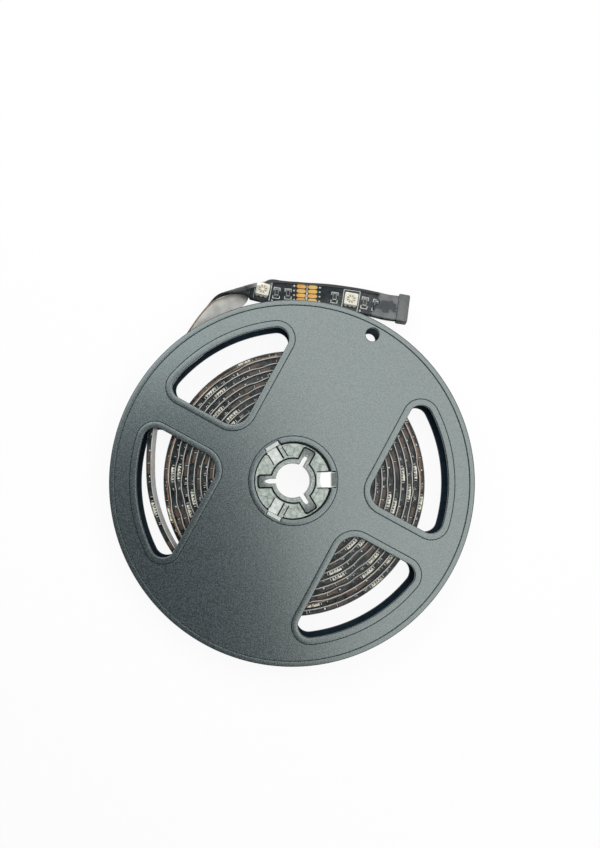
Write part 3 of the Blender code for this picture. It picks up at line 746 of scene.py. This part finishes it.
# Board. A thin flexible circuit with black solder mask on copper, 10 mm wide and the whole length of the
# strip. Its cut edges are left bare, so brown film and copper show there.
BOARD_LOW = LINER_HIGH + 0.00002
BOARD_HIGH = -0.00055
BOARD_EDGE = 0.00484
FILM_EDGE = 0.00490
board_stations = stations_between(0.0006, STRIP_LENGTH - 0.0006)
board = ribbon(board_stations, BOARD_EDGE, BOARD_LOW, BOARD_HIGH)
solder_mask = grained_finish(
    "black_solder_mask", (0.014, 0.020, 0.024), (0.042, 0.054, 0.060),
    scale=700, bump=0.15, detail=4, Roughness=0.3, IOR=1.5,
)
add_piece("circuit_board", board, solder_mask, ["led_strip"])

film = grained_finish(
    "brown_film_edge", (0.10, 0.045, 0.019), (0.30, 0.155, 0.070),
    scale=900, Roughness=0.35, IOR=1.5,
)
FILM_STARTS = STRIP_LENGTH - np.array([0.56, 0.50, 0.30, 0.28, 0.098, 0.092, 0.075, 0.060])
FILM_RISES = np.array([0.00004, 0.00050, 0.00050, 0.00004, 0.00004, 0.00050, 0.00050, 0.00004])
film_rise = np.interp(board_stations, FILM_STARTS, FILM_RISES)[:, None]
film_levels = BOARD_LOW + film_rise * [0, 1, 1, 0]
film_inner = BOARD_EDGE - 0.00002
film_across = np.array([[FILM_EDGE, FILM_EDGE, film_inner, film_inner]])
film_sides = [carried(board_stations, side * film_across, film_levels) for side in (-1, 1)]
add_piece("board_edges", several(*film_sides), film)

BORDER_INNER = 0.00448
BORDER_START = STRIP_LENGTH - 0.094
BORDER_END = STRIP_LENGTH - 0.060
border = carried(
    stations_between(BORDER_START, BORDER_END),
    -np.array([[BORDER_INNER, LINER_EDGE, LINER_EDGE, BORDER_INNER]]),
    LINER_LOW + np.array([[-0.00003, -0.00003, 0.00004, 0.00004]]),
)
add_piece("film_border", border, film)

# Solder pads. Four gold-brown copper pads each side of every cut line, half way between two lights, open in
# the mask.
LIGHT_PITCH = 0.0333
LAST_LIGHT = 0.0202
light_count = int((STRIP_LENGTH - LAST_LIGHT - 0.004) / LIGHT_PITCH) + 1
light_along = STRIP_LENGTH - LAST_LIGHT - LIGHT_PITCH * np.arange(light_count)
cut_along = light_along[1:] + LIGHT_PITCH / 2
SHOWN_COUNT = 12
PAD_LENGTH = 0.00350
PAD_HALF = 0.00088
PAD_FROM_CUT = 0.00215
PAD_ROWS = np.array([-0.00250, -0.00037, 0.00176, 0.00389])
PAD_HIGH = BOARD_HIGH + 0.00006


def plates_on_strip(along, across, half_length, half_width, low, high, steps=6, round_end=False):
    """Thin closed plates on the strip from low to high, one for each entry of the arrays, in steps along it.

    With round_end the width falls to nothing at both ends as in half circles.
    """
    share = -np.cos(np.linspace(0, math.pi, steps))
    sizes = np.broadcast_arrays(along, across, half_length, half_width, low, high)
    sizes = [np.atleast_1d(values)[:, None, None] for values in sizes]
    along, across, half_length, half_width, low, high = sizes
    x = half_length * share[:, None]
    width = half_width
    if round_end:
        past = (np.abs(x) - (half_length - half_width)).clip(0, None)
        width = np.sqrt((half_width**2 - past**2).clip((half_width * 0.12) ** 2, None))
    corners = np.array([[-1, 1, 1, -1]])
    tops = np.array([[0, 0, 1, 1]])
    points = on_strip(along + x, across + width * corners, low + (high - low) * tops)
    ends = np.array([[3, 2, 1, 0], [0, 1, 2, 3]]) + np.array([[0], [4 * (steps - 1)]])
    one = np.concatenate([grid_quads(steps, 4), ends])
    faces = one + np.arange(len(points))[:, None, None] * steps * 4
    return points.reshape(-1, 3), [faces.reshape(-1, 4)]


def spread(values, offsets):
    """Every value with every offset added, as one long array."""
    return (np.asarray(values)[:, None] + np.asarray(offsets)[None]).ravel()


shown_cuts = cut_along[:SHOWN_COUNT]
pad_along = np.repeat(spread(shown_cuts, [-PAD_FROM_CUT, PAD_FROM_CUT]), len(PAD_ROWS))
pad_across = np.tile(PAD_ROWS, 2 * len(shown_cuts))
pad_low = BOARD_HIGH - 0.00002
pads = plates_on_strip(pad_along, pad_across, PAD_LENGTH / 2, PAD_HALF, pad_low, PAD_HIGH, 10, True)
pad_copper = grained_finish(
    "bare_copper_pads", (0.98, 0.48, 0.11), (1.00, 0.70, 0.24),
    scale=260, bump=0.1, Roughness=0.3, Metallic=0.1,
)
add_piece("solder_pads", pads, pad_copper)

# Edges of the pads in the roll. Looking in through the clear edge of a wound turn, each row of pads shows
# as a dull brown block as deep as the coat, on both edges of the strip.
EDGE_PLACE = 0.00462
EDGE_HALF = 0.00012
EDGE_HIGH = 0.00045


def both_edges(along):
    """The lower edge for the first half of the distances, and the upper edge for the second half."""
    return np.repeat([-EDGE_PLACE, EDGE_PLACE], len(along) // 2)


ghost_along = np.tile(spread(cut_along[1:], [-PAD_FROM_CUT, PAD_FROM_CUT]), 2)
ghost_across = both_edges(ghost_along)
ghosts = plates_on_strip(ghost_along, ghost_across, PAD_LENGTH / 2, EDGE_HALF, BOARD_HIGH, EDGE_HIGH, 5)
ghost_brown = grained_finish(
    "pads_seen_through_the_edge", (0.040, 0.024, 0.016), (0.110, 0.060, 0.037),
    scale=500, bump=0.1, Roughness=0.4,
)
add_piece("pad_edges", ghosts, ghost_brown)

# Inside of the roll. Ten millimetres of coat lie one behind the other in a wound turn, and no light comes
# back from between its edges, so it looks black there.
CORE_EDGE = 0.00446
CORE_HIGH = 0.00088
CORE_START = 0.002
CORE_END = STRIP_LENGTH - 0.112
core = ribbon(stations_between(CORE_START, CORE_END), CORE_EDGE, BOARD_HIGH, CORE_HIGH, 2)
roll_dark = grained_finish(
    "dark_inside_of_the_roll", (0.004, 0.007, 0.009), (0.050, 0.062, 0.060),
    scale=380, bump=0.6, depth=0.0004, detail=5, low=0.42, high=0.66,
    Roughness=0.25, IOR=1.5, Specular_IOR_Level=0.25,
)
add_piece("roll_inside", core, roll_dark)

# White print. Silk-screened ink on the mask: a frame round each light, brackets round each resistor, the
# cut line with its two dots, plain plus signs and dots beside the pads, and a small arrow head.
PRINT_LOW = BOARD_HIGH - 0.00001
PRINT_HIGH = BOARD_HIGH + 0.00004
LINE_HALF = 0.00014
FRAME_X = 0.00300
FRAME_Y = 0.00425
CHIP_SHIFTS = np.array([-0.0062, 0.0053, 0.0096])
BRACKET_X = 0.00118
BRACKET_Y = 0.00232
BRACKET_LEG = 0.00062


def printed(centres, shapes, steps=4):
    """Every shape at every centre. A shape is (along, across, half length, half width) from the centre."""
    x, y, half_x, half_y = np.tile(shapes, (len(centres), 1)).T
    along = np.repeat(centres, len(shapes)) + x
    return plates_on_strip(along, y, half_x, half_y, PRINT_LOW, PRINT_HIGH, steps)


def across_line(along, low, high, pieces=6):
    """A printed line across the strip, in short pieces end to end, so that it follows the strip's twist."""
    ends = np.linspace(low, high, pieces + 1)
    half = (high - low) / pieces / 2
    return [(along, start + half, LINE_HALF, half * 1.02) for start in ends[:-1]]


frame_lines = [(0, side * FRAME_Y, FRAME_X + LINE_HALF, LINE_HALF) for side in (-1, 1)]
frame_lines += [line for side in (-1, 1) for line in across_line(side * FRAME_X, -FRAME_Y, FRAME_Y)]
bracket_lines = []
for end in (-1, 1):
    bracket_lines.append((0, end * BRACKET_Y, BRACKET_X + LINE_HALF, LINE_HALF))
    for side in (-1, 1):
        bracket_lines.append((side * BRACKET_X, end * (BRACKET_Y - BRACKET_LEG), LINE_HALF, BRACKET_LEG))
LABEL_X = 0.0048
LABEL_DOT = 0.00030
PLUS_HALF = 0.00046
CUT_DOT = 0.00036
CUT_REACH = 0.0047
ARROW_X, ARROW_Y, ARROW_STEP = 0.0039, -0.0036, 0.00016
label_marks = [(x, y, LABEL_DOT, LABEL_DOT) for x in (-LABEL_X, LABEL_X) for y in PAD_ROWS[:3]]
label_marks += [(x, PAD_ROWS[3], PLUS_HALF, LINE_HALF) for x in (-LABEL_X, LABEL_X)]
label_marks += [(x, PAD_ROWS[3], LINE_HALF, PLUS_HALF) for x in (-LABEL_X, LABEL_X)]
cut_marks = across_line(0, -CUT_REACH, CUT_REACH)
cut_marks += [(0.00005, 0.0007, CUT_DOT, CUT_DOT), (-0.00005, -0.0014, CUT_DOT, CUT_DOT)]
arrow_marks = [(ARROW_X + ARROW_STEP * k, ARROW_Y, 0.00010, 0.00050 - 0.00014 * k) for k in range(4)]
shown_lights = light_along[:SHOWN_COUNT]
marks = several(
    printed(shown_lights, frame_lines, 6),
    printed(spread(shown_lights, CHIP_SHIFTS), bracket_lines),
    printed(shown_cuts, label_marks + cut_marks),
    printed(shown_lights, arrow_marks),
)
white_ink = grained_finish(
    "white_ink", (0.62, 0.64, 0.62), (0.86, 0.87, 0.84),
    scale=1500, bump=0.1, depth=0.00003, Roughness=0.55,
)
add_piece("printed_marks", marks, white_ink)

# Lights seen in the roll. At the edge of a wound turn a light shows its side: a cream block on five bright
# legs.
SIDE_LEGS = np.linspace(-0.0020, 0.0020, 5)
SIDE_HALF = 0.0024
SIDE_LOW = BOARD_HIGH + 0.00055
SIDE_HIGH = 0.00055
LEG_HALF = 0.00028
LEG_HIGH = 0.00005
roll_lights = light_along[2:]
side_along = np.tile(roll_lights, 2)
leg_along = np.tile(spread(roll_lights, SIDE_LEGS), 2)
sides = several(
    plates_on_strip(side_along, both_edges(side_along), SIDE_HALF, EDGE_HALF, SIDE_LOW, SIDE_HIGH, 4),
    plates_on_strip(leg_along, both_edges(leg_along), LEG_HALF, EDGE_HALF, BOARD_HIGH + 0.00002, LEG_HIGH, 3),
)
side_cream = grained_finish(
    "lights_seen_through_the_edge", (0.28, 0.27, 0.21), (0.95, 0.93, 0.80),
    scale=1500, low=0.40, high=0.56, Roughness=0.4,
)
add_piece("light_sides", sides, side_cream)

# Print seen in the roll. At the edge of a wound turn each printed line that runs out to it shows as a white
# tick, and each label by the pads as a white dot.
TICKS = np.array([0.0, LIGHT_PITCH / 2 - FRAME_X, LIGHT_PITCH / 2 + FRAME_X - LIGHT_PITCH])
CHIP_TICKS = spread(CHIP_SHIFTS, [-0.00085, -0.0002, 0.0003, 0.00085])
TICK_HALF = 0.00009
TICK_HIGH = 0.00035
DOT_HALF = 0.00026


def strewn(along, share, low, high):
    """A share of the places, each on an edge at random and of a random height, between low and high."""
    along = along[random.uniform(size=len(along)) < share]
    across = random.choice([-EDGE_PLACE, EDGE_PLACE], len(along))
    return along, across, BOARD_HIGH + random.uniform(low, high, len(along))


tick_along = np.tile(spread(cut_along[1:], TICKS), 2)
dots = strewn(np.tile(spread(cut_along[1:], [-LABEL_X, LABEL_X * 0.96]), 2), 0.6, 0.0003, 0.0007)
chip_ticks = strewn(np.tile(spread(roll_lights, CHIP_TICKS), 2), 0.75, 0.0002, 0.0009)
ticks = several(
    plates_on_strip(tick_along, both_edges(tick_along), TICK_HALF, EDGE_HALF * 1.2, BOARD_HIGH, TICK_HIGH, 3),
    plates_on_strip(*dots[:2], DOT_HALF, EDGE_HALF * 1.2, BOARD_HIGH, dots[2], 3),
    plates_on_strip(*chip_ticks[:2], TICK_HALF, EDGE_HALF * 1.1, BOARD_HIGH, chip_ticks[2], 3),
)
add_piece("print_edges", ticks, white_ink)

# Lights. Square cream packages soldered to the board on three leads a side. A clear round window in the top
# shows the lead frame as eight tan wedges round a pale middle.
LIGHT_HALF = 0.0025
LIGHT_BASE = BOARD_HIGH + 0.00012
LIGHT_TOP = 0.0009
LENS_RADIUS = 0.0019
LENS_DEPTH = 0.00022
SQUARE_POWER = 14


def copies_at(along, shape):
    """The shape at each distance: its axes run along the strip, to its lower edge and to the lights."""
    points, faces = shape
    tiny = ACROSS[1] - ACROSS[0]
    origin = on_strip(along, 0, 0)
    facing = on_strip(along, 0, 1) - origin
    across = on_strip(along, tiny, 0) - on_strip(along, -tiny, 0)
    across -= facing * (across * facing).sum(1, keepdims=True)
    across /= np.linalg.norm(across, axis=1, keepdims=True)
    axes = np.stack([np.cross(across, facing), across, facing], 1)
    placed = origin[:, None] + points.reshape(-1, 3) @ axes
    shift = np.arange(len(placed))[:, None, None] * placed.shape[1]
    return placed.reshape(-1, 3), [(group + shift).reshape(-1, group.shape[1]) for group in faces]


def light_body(steps):
    """Rings round the package's axis, from the middle of its base out, up its sides and down into the window.

    Outside, the radius is a rounded square's: half its side over the root of the sum of a high power of the
    cosine and of the sine, a root of the same power. In the window it is round.
    """
    turn = np.linspace(0, math.tau, steps, endpoint=False) + math.pi / steps
    cosine, sine = np.cos(turn), np.sin(turn)
    square = (np.abs(cosine) ** SQUARE_POWER + np.abs(sine) ** SQUARE_POWER) ** (-1 / SQUARE_POWER)
    rings = [
        (0.0001, LIGHT_BASE),
        (0.94 * LIGHT_HALF * square, LIGHT_BASE),
        (LIGHT_HALF * square, LIGHT_BASE + 0.0001),
        (LIGHT_HALF * square, LIGHT_TOP - 0.00012),
        ((LIGHT_HALF - 0.00012) * square, LIGHT_TOP),
        (LENS_RADIUS + 0.0001, LIGHT_TOP),
        (LENS_RADIUS, LIGHT_TOP - 0.00005),
        (LENS_RADIUS - 0.00012, LIGHT_TOP - LENS_DEPTH),
    ]
    points = [np.stack([radius * cosine, radius * sine, np.full(steps, z)], 1) for radius, z in rings]
    last = len(rings) * steps
    caps = np.array([np.arange(steps)[::-1], np.arange(steps) + last - steps])
    return np.array(points), [grid_quads(len(rings), steps), caps]


light_plastic = grained_finish(
    "cream_light_package", (0.90, 0.87, 0.74), (0.98, 0.96, 0.85),
    scale=800, bump=0.1, depth=0.00004, Roughness=0.35, IOR=1.5,
)
for number, along in enumerate(light_along[[1, 0]], 1):
    light = copies_at([along], light_body(96))
    add_piece(f"light_{number}", light, light_plastic, [f"led_{number}"])
add_piece("lights_in_the_roll", copies_at(roll_lights, light_body(24)), light_plastic)

WEDGE_INNER = 0.00062
WEDGE_OUTER = 0.00168
WEDGE_HALF = (0.20, 0.27)
WEDGE_TURNS = math.tau * (np.arange(8) + 0.5) / 8
WEDGE_LOW = LIGHT_TOP - LENS_DEPTH - 0.00002
tan_frame = grained_finish(
    "tan_lead_frame", (0.30, 0.24, 0.15), (0.46, 0.38, 0.26),
    scale=900, bump=0.1, depth=0.00003, Roughness=0.3,
)
wedge_outline = np.concatenate([
    arc_points((0, 0), WEDGE_INNER, -WEDGE_HALF[0], WEDGE_HALF[0], 4),
    arc_points((0, 0), WEDGE_OUTER, WEDGE_HALF[1], -WEDGE_HALF[1], 4),
])
wedge_ring = flat_tiles([wedge_outline] * 8, WEDGE_LOW, WEDGE_LOW + 0.00005, WEDGE_TURNS, (0, 0))
wedges = copies_at(light_along[:SHOWN_COUNT], wedge_ring)
add_piece("lead_frames", wedges, tan_frame)

LEAD_SHIFTS = (-0.00165, 0.0, 0.00165)
LEAD_PLACE = 0.00245
LEAD_HALF_X = 0.00042
LEAD_HALF_Y = 0.00038
LEAD_HEIGHT = 0.00052
lead_outlines = [
    bar_outline(x - LEAD_HALF_X, x + LEAD_HALF_X, y - LEAD_HALF_Y, y + LEAD_HALF_Y)
    for x in LEAD_SHIFTS
    for y in (-LEAD_PLACE, LEAD_PLACE)
]
leads = flat_tiles(lead_outlines, BOARD_HIGH, BOARD_HIGH + LEAD_HEIGHT, centre=(0, 0))
solder = grained_finish(
    "bright_solder", (0.62, 0.62, 0.58), (0.90, 0.90, 0.86),
    scale=900, bump=0.3, depth=0.00006, Roughness=0.28, Metallic=0.5,
)
add_piece("solder_leads", copies_at(light_along, leads), solder)

# Resistors. A grey ceramic chip with a dark glaze on top and a bright terminal at each end, three to each
# light.
CHIP_HALF_X = 0.0007
CHIP_HALF_Y = 0.0015
CHIP_BASE = BOARD_HIGH + 0.00008
CHIP_TOP = 0.0002
TERMINAL = 0.00034
chip_along = spread(light_along, CHIP_SHIFTS)
chip_along = chip_along[(chip_along > 0.004) & (chip_along < STRIP_LENGTH - 0.004)]
shown_chips = spread(light_along[[1, 0]], CHIP_SHIFTS)
SHOWN_NODES = (4, 5, 6, 1, 2, 3)
ceramic = grained_finish(
    "pale_chip_ceramic", (0.26, 0.28, 0.27), (0.42, 0.44, 0.42),
    scale=1600, depth=0.00004, Roughness=0.45,
)
chip_outline = bar_outline(-CHIP_HALF_X, CHIP_HALF_X, TERMINAL - CHIP_HALF_Y, CHIP_HALF_Y - TERMINAL)
chip_body = flat_tiles([chip_outline], CHIP_BASE, CHIP_TOP, centre=(0, 0))
for along, number in zip(shown_chips, SHOWN_NODES):
    chip = copies_at([along], chip_body)
    add_piece(f"chip_{number}", chip, ceramic, [f"resistor_{number}"])
glaze = grained_finish(
    "dark_chip_glaze", (0.010, 0.012, 0.012), (0.050, 0.056, 0.056),
    scale=1600, depth=0.00004, Roughness=0.3,
)
glaze_x, glaze_y = CHIP_HALF_X - 0.0002, CHIP_HALF_Y - TERMINAL - 0.00012
glaze_outline = bar_outline(-glaze_x, glaze_x, -glaze_y, glaze_y)
glaze_body = flat_tiles([glaze_outline], CHIP_TOP - 0.00005, CHIP_TOP + 0.00004, centre=(0, 0))
add_piece("chip_glaze", copies_at(chip_along, glaze_body), glaze)
rest_chips = np.array([along for along in chip_along if not np.isclose(along, shown_chips).any()])
add_piece("chips_in_the_roll", copies_at(rest_chips, chip_body), ceramic)
end_x, end_y = CHIP_HALF_X + 0.00003, CHIP_HALF_Y - TERMINAL / 2
end_outlines = [bar_outline(-end_x, end_x, y - TERMINAL / 2, y + TERMINAL / 2) for y in (-end_y, end_y)]
terminals = flat_tiles(end_outlines, BOARD_HIGH, CHIP_TOP + 0.00003, centre=(0, 0))
tin = grained_finish(
    "tinned_chip_ends", (0.34, 0.35, 0.34), (0.56, 0.57, 0.55),
    scale=1400, depth=0.00004, Roughness=0.35, Metallic=0.4,
)
add_piece("chip_terminals", copies_at(chip_along, terminals), tin)

# Coat. Clear silicone poured over the lights and set, with a soft round along both edges. It covers
# everything on the board for the whole length.
COAT_LOW = BOARD_HIGH + 0.00001
COAT_HIGH = STRIP_THICK / 2
COAT_EDGE = 0.00497
COAT_ROUND = 0.00045
# Painted shade in the coat: how much of the loose end it covers, its share on the edges, and the place, half
# width and share of the band round the fold.
SHADED_TAIL_LENGTH = 0.125
EDGE_SHADE = 0.93
FOLD_PLACE = STRIP_LENGTH - 0.0668
FOLD_HALF = 0.0113
FOLD_SHADE = 0.8


def coat_section():
    """Square at the board, and a quarter circle of the coat's rounding at each upper corner."""
    turn = np.linspace(0, math.pi / 2, 5)
    centre = np.array([COAT_EDGE - COAT_ROUND, COAT_HIGH - COAT_ROUND])
    right = centre + COAT_ROUND * np.stack([np.cos(turn), np.sin(turn)], 1)
    left = right[::-1] * [-1, 1]
    flat = np.linspace(1, -1, 11)[1:-1, None] * [COAT_EDGE - COAT_ROUND, 0] + [0, COAT_HIGH]
    under = np.linspace(-1, 1, 13)[:, None] * [COAT_EDGE, 0] + [0, COAT_LOW]
    return np.concatenate([under, right, flat, left]).T


coat_across, coat_high = coat_section()
coat_stations = stations_between(0.0008, STRIP_LENGTH - 0.0008)
silicone = new_finish(
    "clear_silicone",
    Base_Color=(0.022, 0.028, 0.030, 1), Roughness=0.12, IOR=1.41, Specular_IOR_Level=0.2,
)
haze = noise_on(silicone, 160, 3)
rim_view = add_node(silicone, "ShaderNodeLayerWeight", Blend=0.35).outputs["Facing"]
seen = add_node(silicone, "ShaderNodeMapRange", [(rim_view, "Value")], To_Min=0.10, To_Max=0.36)
# Painted shade: where this share is high the coat turns nearly opaque over its dark base colour.
coat_shade_share = add_node(silicone, "ShaderNodeAttribute", attribute_name="coat_painted_shade").outputs["Fac"]
denser = add_node(silicone, "ShaderNodeMath", [(seen.outputs[0], 0), (coat_shade_share, 1)], operation="MAXIMUM")
link_finish(silicone, denser.outputs[0], "Alpha")
roughen(silicone, haze, 0.25, 0.0003)
coat_shape = carried(coat_stations, coat_across[None], coat_high[None])
coat = add_piece("clear_coat", coat_shape, silicone)
# The painted shade share: high on the coat's edge faces along the loose end, and in a band round the fold.
loose_part = np.clip((coat_stations - STRIP_LENGTH + SHADED_TAIL_LENGTH) / 0.02, 0, 1)
at_edge = (np.abs(coat_across) > COAT_EDGE - 0.3 * COAT_ROUND) & (coat_high < COAT_HIGH - 0.1 * COAT_ROUND)
fold_part = FOLD_SHADE * np.exp(-(((coat_stations - FOLD_PLACE) / FOLD_HALF) ** 8))
edge_and_fold_shade = np.maximum(EDGE_SHADE * loose_part[:, None] * at_edge, fold_part[:, None]).astype(np.float32)
coat.data.attributes.new("coat_painted_shade", "FLOAT", "POINT").data.foreach_set("value", edge_and_fold_shade.ravel())

# End of the coat. A thick, ragged, raised sheet over the last of the board, next to the cap. Its grey is
# painted glare on the coat; in the middle, where the glare is missing, the dark board shows through.
END_SHEET_LENGTH = 0.0109
END_SHEET_ROWS, END_SHEET_COLUMNS = 60, 40
# The sheet is a grid over the strip's end. Its near border wanders, and its height is a low dome with waves.
u, v = np.meshgrid(np.linspace(0, 1, END_SHEET_ROWS), np.linspace(-1, 1, END_SHEET_COLUMNS), indexing="ij")
sheet_start = STRIP_LENGTH - END_SHEET_LENGTH + 0.0009 * np.sin(3.1 * v + 0.6) + 0.0005 * np.sin(9 * v)
sheet_along = sheet_start + (STRIP_LENGTH - 0.0004 - sheet_start) * u
swell = 0.00012 * np.sin(math.pi * u.clip(0, 1)) + 0.00003 * np.sin(23 * u + 5 * v)
rim = ((1 - np.abs(v)) * 12).clip(0, 1) * (u * 14).clip(0, 1)
sheet_high = COAT_HIGH - 0.00035 + (0.00038 + swell) * rim**0.5
top = on_strip(sheet_along, v * (COAT_EDGE + 0.00004), sheet_high)
under = on_strip(sheet_along, v * (COAT_EDGE + 0.00004), COAT_HIGH - 0.0005)
border = np.concatenate([
    np.arange(END_SHEET_COLUMNS),
    np.arange(1, END_SHEET_ROWS) * END_SHEET_COLUMNS + END_SHEET_COLUMNS - 1,
    (END_SHEET_ROWS - 1) * END_SHEET_COLUMNS + np.arange(END_SHEET_COLUMNS - 1)[::-1],
    np.arange(1, END_SHEET_ROWS - 1)[::-1] * END_SHEET_COLUMNS,
])
beside = np.roll(border, -1)
skirt = np.stack([border, beside, beside + u.size, border + u.size], 1)
sheet_quads = grid_quads(END_SHEET_ROWS, END_SHEET_COLUMNS, closed=False)
sheet_shape = np.concatenate([top, under]), [sheet_quads, sheet_quads + u.size, skirt]
glare_finish = grained_finish(
    "coat_end_with_painted_glare", (0.105, 0.112, 0.118), (0.155, 0.163, 0.170),
    scale=230, bump=0.3, depth=0.0002, detail=5, low=0.40, high=0.60, Roughness=0.4, IOR=1.45,
)
# Where the painted glare is missing, the sheet takes the dark board's colour.
glare_gap_node = add_node(glare_finish, "ShaderNodeAttribute", attribute_name="glare_gap")
mix_over(glare_finish, glare_gap_node.outputs["Fac"], (0.030, 0.034, 0.042, 1))
glare_sheet = add_piece("coat_end_glare", sheet_shape, glare_finish)
# The patch without painted glare: a ragged oval in the middle of the sheet.
ragged = 0.16 * np.sin(17 * u + 4 * v) + 0.13 * np.sin(21 * v - 8 * u)
patch = np.hypot((u - 0.34) / 0.42, (v + 0.05) / 0.46) + ragged
glare_gap_share = np.tile(np.clip((1.06 - patch) / 0.12, 0, 1).ravel(), 2).astype(np.float32)
glare_sheet.data.attributes.new("glare_gap", "FLOAT", "POINT").data.foreach_set("value", glare_gap_share)

# End cap. A soft grey moulded block, pushed over the last few millimetres of the strip. It keeps the
# solid's form, with finer rounds.
cap_rubber = grained_finish(
    "grey_cap_rubber", (0.094, 0.102, 0.102), (0.146, 0.155, 0.153),
    scale=1300, bump=0.25, depth=0.00008, detail=4, Roughness=0.5, IOR=1.5,
)
rounded_copy("end_cap", "soft_cap", cap_rubber, 0.0001)

# Studio. A pale floor that shows white to the camera but keeps a soft shadow, a large soft key lamp on the
# upper right, a weak fill, and the camera above the reel.
FLOOR_HALF = 3.0
FLOOR_DROP = 0.0002
FLOOR_SHARE = 0.92
PANEL_HEIGHT = 0.45

floor_mesh = bpy.data.meshes.new("floor")
floor_corners = np.array([[-1, -1], [1, -1], [1, 1], [-1, 1]]) * FLOOR_HALF
floor_mesh.from_pydata([(x, y, -FLOOR_DROP) for x, y in floor_corners], [], [(0, 1, 2, 3)])
put_in_scene("floor", floor_mesh)
floor_paint = new_finish("white_floor", Base_Color=(0.9, 0.9, 0.9, 1), Roughness=0.9)
floor_mesh.materials.append(floor_paint)
rays = add_node(floor_paint, "ShaderNodeLightPath").outputs
seen_by = rays["Is Camera Ray"]
for kind in ("Is Glossy Ray", "Is Transmission Ray"):
    either = add_node(floor_paint, "ShaderNodeMath", [(seen_by, 0), (rays[kind], 1)], operation="MAXIMUM")
    seen_by = either.outputs[0]
share = add_node(floor_paint, "ShaderNodeMath", [(seen_by, 0), (FLOOR_SHARE, 1)], operation="MULTIPLY")
glow = add_node(floor_paint, "ShaderNodeEmission", Color=(1, 1, 1, 1), Strength=1.0)
painted = floor_paint.node_tree.nodes["Principled BSDF"]
sources = [(share.outputs[0], 0), (painted.outputs[0], 1), (glow.outputs[0], 2)]
mixed = add_node(floor_paint, "ShaderNodeMixShader", sources)
output = floor_paint.node_tree.nodes["Material Output"]
floor_paint.node_tree.links.new(mixed.outputs[0], output.inputs["Surface"])

world = bpy.data.worlds.new("studio")
world.use_nodes = True
bpy.context.scene.world = world
background = world.node_tree.nodes["Background"]
background.inputs["Color"].default_value = (0.93, 0.97, 1.0, 1)
background.inputs["Strength"].default_value = 0.11
white = add_node(world, "ShaderNodeBackground", Color=(1, 1, 1, 1), Strength=1.0)
rays = add_node(world, "ShaderNodeLightPath").outputs
sources = [(rays["Is Camera Ray"], 0), (background.outputs[0], 1), (white.outputs[0], 2)]
mixed = add_node(world, "ShaderNodeMixShader", sources)
world.node_tree.links.new(mixed.outputs[0], world.node_tree.nodes["World Output"].inputs["Surface"])

# A panel is level and shines down. Its power is the level times pi times its width and depth.
for name, middle, turn, width, depth, level, colour in (
    ("key", (0.1965, 0.083, PANEL_HEIGHT), math.radians(17), 0.45, 1.0, 2.25, (1.0, 0.995, 0.975)),
    ("fill", (-0.24, 0.33, PANEL_HEIGHT), 0, 0.42, 0.50, 2.65, (0.95, 0.985, 1.0)),
):
    lamp = bpy.data.lights.new(name, "AREA")
    lamp.shape = "RECTANGLE"
    lamp.size, lamp.size_y = width, depth
    lamp.energy = level * math.pi * width * depth
    lamp.color = colour
    panel = put_in_scene(name, lamp)
    panel.location = middle
    panel.rotation_euler = (0, 0, turn)

camera_data = bpy.data.cameras.new("camera")
camera_data.lens = 35.30
camera_data.sensor_width = 36.0
camera_data.clip_start = 0.005
camera = put_in_scene("camera", camera_data)
camera.location = (-0.008, -0.0049, 0.3138)
camera.rotation_euler = (math.radians(3.894), math.radians(-1.984), 0)
bpy.context.scene.camera = camera
bpy.context.scene.view_settings.view_transform = "Standard"
